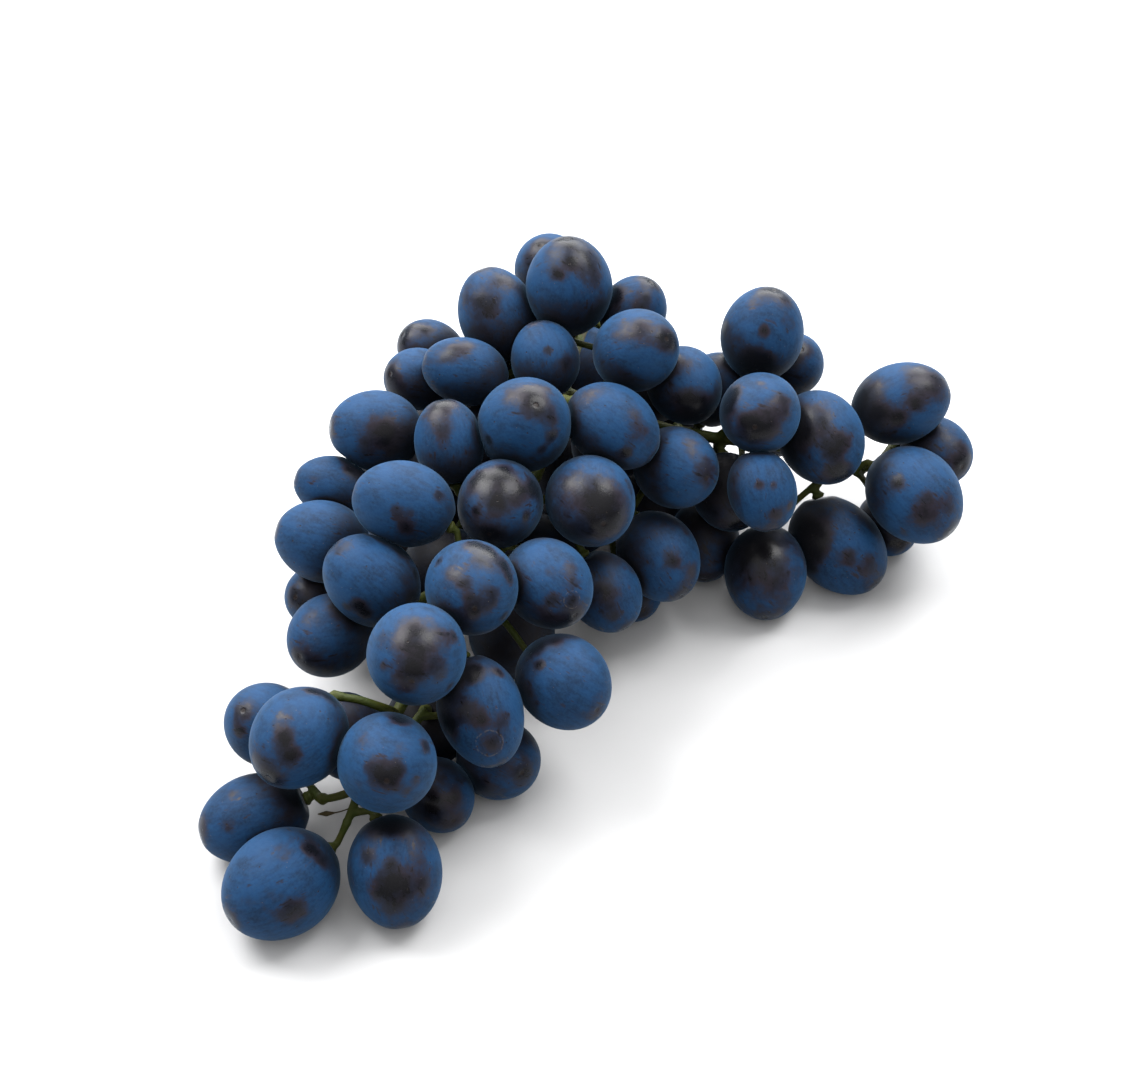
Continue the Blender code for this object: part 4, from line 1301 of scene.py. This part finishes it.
class Painter:
    """The nodes of a material or a world, added one after another."""

    def __init__(self, owner, shader="Principled BSDF"):
        owner.use_nodes = True
        self.owner, self.tree = owner, owner.node_tree
        self.shader = self.tree.nodes[shader]

    def put(self, socket, value):
        if isinstance(value, bpy.types.NodeSocket):
            self.tree.links.new(value, socket)
        else:
            socket.default_value = value

    def shade(self, inputs):
        """Sets what the shader takes, and gives back what is painted."""
        for name, value in inputs.items():
            self.put(self.shader.inputs[name], value)
        return self.owner

    def node(self, kind, out=0, inputs=(), **settings):
        made = self.tree.nodes.new(kind)
        for key, value in settings.items():
            setattr(made, key, value)
        for key, value in dict(inputs).items():
            self.put(made.inputs[key], value)
        return made.outputs[out]

    def read(self, out, *names):
        return [self.node("ShaderNodeAttribute", out, attribute_name=name) for name in names]

    def math(self, operation, *values, clamp=False):
        return self.node("ShaderNodeMath", 0, enumerate(values), operation=operation, use_clamp=clamp)

    def plus(self, total, *values):
        for value in values:
            total = self.math("ADD", total, value)
        return total

    def minus(self, a, b):
        return self.math("SUBTRACT", a, b)

    def times(self, a, b):
        return self.math("MULTIPLY", a, b)

    def about_none(self, noise, spread):
        """A noise moved to lie on both sides of zero."""
        return self.times(self.minus(noise, 0.5), spread)

    def vector(self, operation, *values, out=0):
        return self.node("ShaderNodeVectorMath", out, enumerate(values), operation=operation)

    def length(self, a):
        return self.vector("LENGTH", a, out="Value")

    def noise(self, place, scale, detail, rough):
        inputs = {"Vector": place, "Scale": scale, "Detail": detail, "Roughness": rough}
        return self.node("ShaderNodeTexNoise", 0, inputs)

    def cells(self, place, scale):
        return self.node("ShaderNodeTexVoronoi", 0, {"Vector": place, "Scale": scale})

    def step(self, value, low, high, to_low=0.0, to_high=1.0, kind="SMOOTHSTEP"):
        values = enumerate((value, low, high, to_low, to_high))
        return self.node("ShaderNodeMapRange", 0, values, interpolation_type=kind)

    def mix(self, share, a, b):
        return self.node("ShaderNodeMix", 2, {0: share, 6: a, 7: b}, data_type="RGBA")

    def bumped(self, height, distance, strength):
        inputs = {"Height": height, "Distance": distance, "Strength": strength}
        return self.node("ShaderNodeBump", 0, inputs)


def skin_material():
    """Near-black glossy skin under a matt blue bloom, thinned and rubbed off in marks, and darkened with
    painted shade where sheltered.
    """
    p = Painter(bpy.data.materials.new("bloomed_skin"))
    tip, offset, ring = p.read("Vector", "tip", "offset", "ring")
    tone, rubbed_and_shade, painted_shade = p.read("Fac", "tone", "rubbed_and_shade", "painted_shade")
    place = p.vector("ADD", tip, offset)
    broad = p.noise(place, 0.13, 2.0, 0.5)
    patchy = p.noise(place, 0.34, 3.0, 0.55)
    fine = p.noise(place, 1.3, 4.0, 0.6)
    wiped = p.noise(p.vector("MULTIPLY", place, (0.16, 0.9, 0.3)), 1.0, 3.0, 0.55)

    # How much of the bloom is gone, from none to all: rubbed off, and taken off as painted shade in
    # sheltered places
    bloom_gone_and_shade = p.plus(
        p.math("MULTIPLY_ADD", p.minus(patchy, 0.5), 0.70, rubbed_and_shade),
        p.step(painted_shade, 0.25, 0.9, 0.0, 0.5),
        p.about_none(fine, 0.28),
        p.times(tone, 0.07),
        p.step(wiped, 0.58, 0.72, 0.0, 0.30),
    )
    thin_and_shade = p.step(bloom_gone_and_shade, 0.18, 0.62)
    bare_and_shade = p.step(bloom_gone_and_shade, 0.50, 0.95)

    # Small dark scars, pale dots and corky rings
    scar = p.step(p.cells(place, 0.30), 0.05, 0.10, 1.0, 0.0)
    scar = p.math("MAXIMUM", scar, p.step(p.length(tip), 0.45, 0.95, 1.0, 0.0))
    dot = p.step(p.cells(place, 0.42), 0.035, 0.06, 1.0, 0.0)
    ring = p.plus(p.length(ring), p.about_none(patchy, 0.25))
    ring = p.math("ABSOLUTE", p.minus(ring, 1.0))
    ring = p.times(p.step(ring, 0.02, 0.09, 0.40, 0.0), p.step(fine, 0.38, 0.62))

    mottled = p.plus(p.times(broad, 0.5), p.times(wiped, 0.5))
    bloom = p.mix(p.step(mottled, 0.36, 0.60), BLOOM_DEEP, BLOOM_PALE)
    bloom = p.mix(p.times(p.step(fine, 0.3, 0.75), 0.45), bloom, BLOOM_DUST)
    colour = p.mix(thin_and_shade, bloom, p.mix(p.step(broad, 0.4, 0.62), THIN_WARM, THIN_COOL))
    colour = p.mix(bare_and_shade, colour, BARE_SKIN_AND_SHADE)
    colour = p.mix(p.times(scar, 0.8), colour, SCAR)
    colour = p.mix(p.times(dot, 0.5), colour, CORK)
    colour = p.mix(ring, colour, CORK)
    # Painted shade: sheltered skin darkened toward the colour of bare skin
    colour = p.mix(p.step(painted_shade, 0.3, 1.0, 0.0, 0.8), colour, BARE_SKIN_AND_SHADE)

    worn = p.plus(p.times(thin_and_shade, 0.6), p.times(bare_and_shade, 0.4))
    worn = p.times(worn, p.step(painted_shade, 0.45, 0.95, 1.0, 0.25))
    height = p.math("MULTIPLY_ADD", fine, 0.35, p.times(p.minus(1.0, thin_and_shade), 0.12))
    height = p.plus(p.minus(height, p.times(scar, 0.5)), p.times(ring, 0.5))
    return p.shade(
        {
            "Base Color": colour,
            "Roughness": p.step(worn, 0, 1, 0.66, 0.27),
            "Specular IOR Level": GLOSS,
            "Sheen Weight": SHEEN,
            "Sheen Roughness": 0.42,
            "Sheen Tint": SHEEN_TINT,
            "Normal": p.bumped(height, 0.00022, 0.55),
        }
    )


def stalk_material():
    """Olive green, browner on the thick wood, warty, pale at the seats."""
    p = Painter(bpy.data.materials.new("green_stalk"))
    (place,) = p.read("Vector", "place")
    thick, seat, cut = p.read("Fac", "thick", "seat", "cut")
    patchy = p.noise(place, 0.22, 3.0, 0.6)
    fine = p.noise(place, 1.5, 4.0, 0.6)
    grain = p.noise(p.vector("MULTIPLY", place, (3.0, 0.5, 3.0)), 0.9, 3.0, 0.6)
    colour = p.mix(p.step(patchy, 0.35, 0.7), STALK_GREEN, STALK_OLIVE)
    wood = p.math("ADD", p.step(thick, 1.5, 3.0, 0.0, 0.55), p.times(cut, 0.5), clamp=True)
    colour = p.mix(p.step(p.plus(patchy, wood), 0.72, 1.25, 0.0, 0.85), colour, STALK_BROWN)
    colour = p.mix(p.step(fine, 0.60, 0.78, 0.0, 0.55), colour, STALK_BROWN)
    colour = p.mix(p.times(seat, 0.35), colour, STALK_PALE)
    height = p.plus(p.times(fine, 0.6), p.times(grain, 0.5))
    return p.shade(
        {
            "Base Color": colour,
            "Roughness": 0.58,
            "Specular IOR Level": 0.15,
            "Normal": p.bumped(height, 0.0003, 0.7),
        }
    )


# The studio


def aim(made, place, target):
    made.location = tuple(place)
    made.rotation_euler = (Vector(target) - Vector(place)).to_track_quat("-Z", "Y").to_euler()


def lay_floor():
    half = FLOOR_HALF
    mesh = bpy.data.meshes.new("floor")
    corners = [(-half, -half, 0.0), (half, -half, 0.0), (half, half, 0.0), (-half, half, 0.0)]
    mesh.from_pydata(corners, [], [(0, 1, 2, 3)])
    white = Painter(bpy.data.materials.new("floor_white"))
    mesh.materials.append(white.shade({"Base Color": FLOOR, "Roughness": 0.9}))
    floor = in_scene("floor", mesh)


def light_up(target):
    for name, way, far, size, watts in SOFTBOXES:
        light = bpy.data.lights.new(name, "AREA")
        light.shape = "RECTANGLE"
        light.size, light.size_y = size
        light.energy = watts
        way = np.array(way) / np.linalg.norm(way)
        aim(in_scene(name, light), target + way * far, target)


def sky():
    """White, brighter overhead, and even where the camera sees it."""
    world = bpy.data.worlds.new("studio")
    bpy.context.scene.world = world
    p = Painter(world, "Background")
    upward = p.node("ShaderNodeSeparateXYZ", "Z", {0: p.node("ShaderNodeTexCoord", "Generated")})
    dome = p.step(upward, 0.0, 1.0, *DOME, kind="LINEAR")
    seen = p.node("ShaderNodeLightPath", "Is Camera Ray")
    p.shade({"Color": WHITE, "Strength": p.step(seen, 0.0, 1.0, dome, BACKDROP, kind="LINEAR")})


def set_camera(target):
    lens = bpy.data.cameras.new("camera")
    lens.lens = LENS
    lens.sensor_width = SENSOR
    lens.sensor_fit = "HORIZONTAL"
    camera = in_scene("camera", lens)
    aim(camera, EYE * MM + target, target)
    bpy.context.scene.camera = camera
    bpy.context.scene.view_settings.view_transform = "Standard"
    bpy.context.scene.view_settings.look = "None"


def main():
    trunks = []
    for line, radii in main_stalks():
        trunks.append(evenly_along(rounded(line), STALK_STEP if radii is SIDE_RADII else RACHIS_STEP))
    berries = place_berries()
    stalks = grow_stalks(berries, trunks)
    low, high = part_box("berries_tail_end")
    lone = berries["middle"][berries["spray"] == list(SPRAYS).index("tail_end")][0] * MM
    shift = np.array([(low[0] + high[0]) / 2 - lone[0], (low[1] + high[1]) / 2 - lone[1], 0.0])
    berry_pieces(berries, stalks, skin_material(), shift)
    green = stalk_material()
    stem_piece(berries, stalks, green, shift)
    dried_piece(green, shift)
    lay_floor()
    light_up(shift)
    sky()
    set_camera(shift)


main()
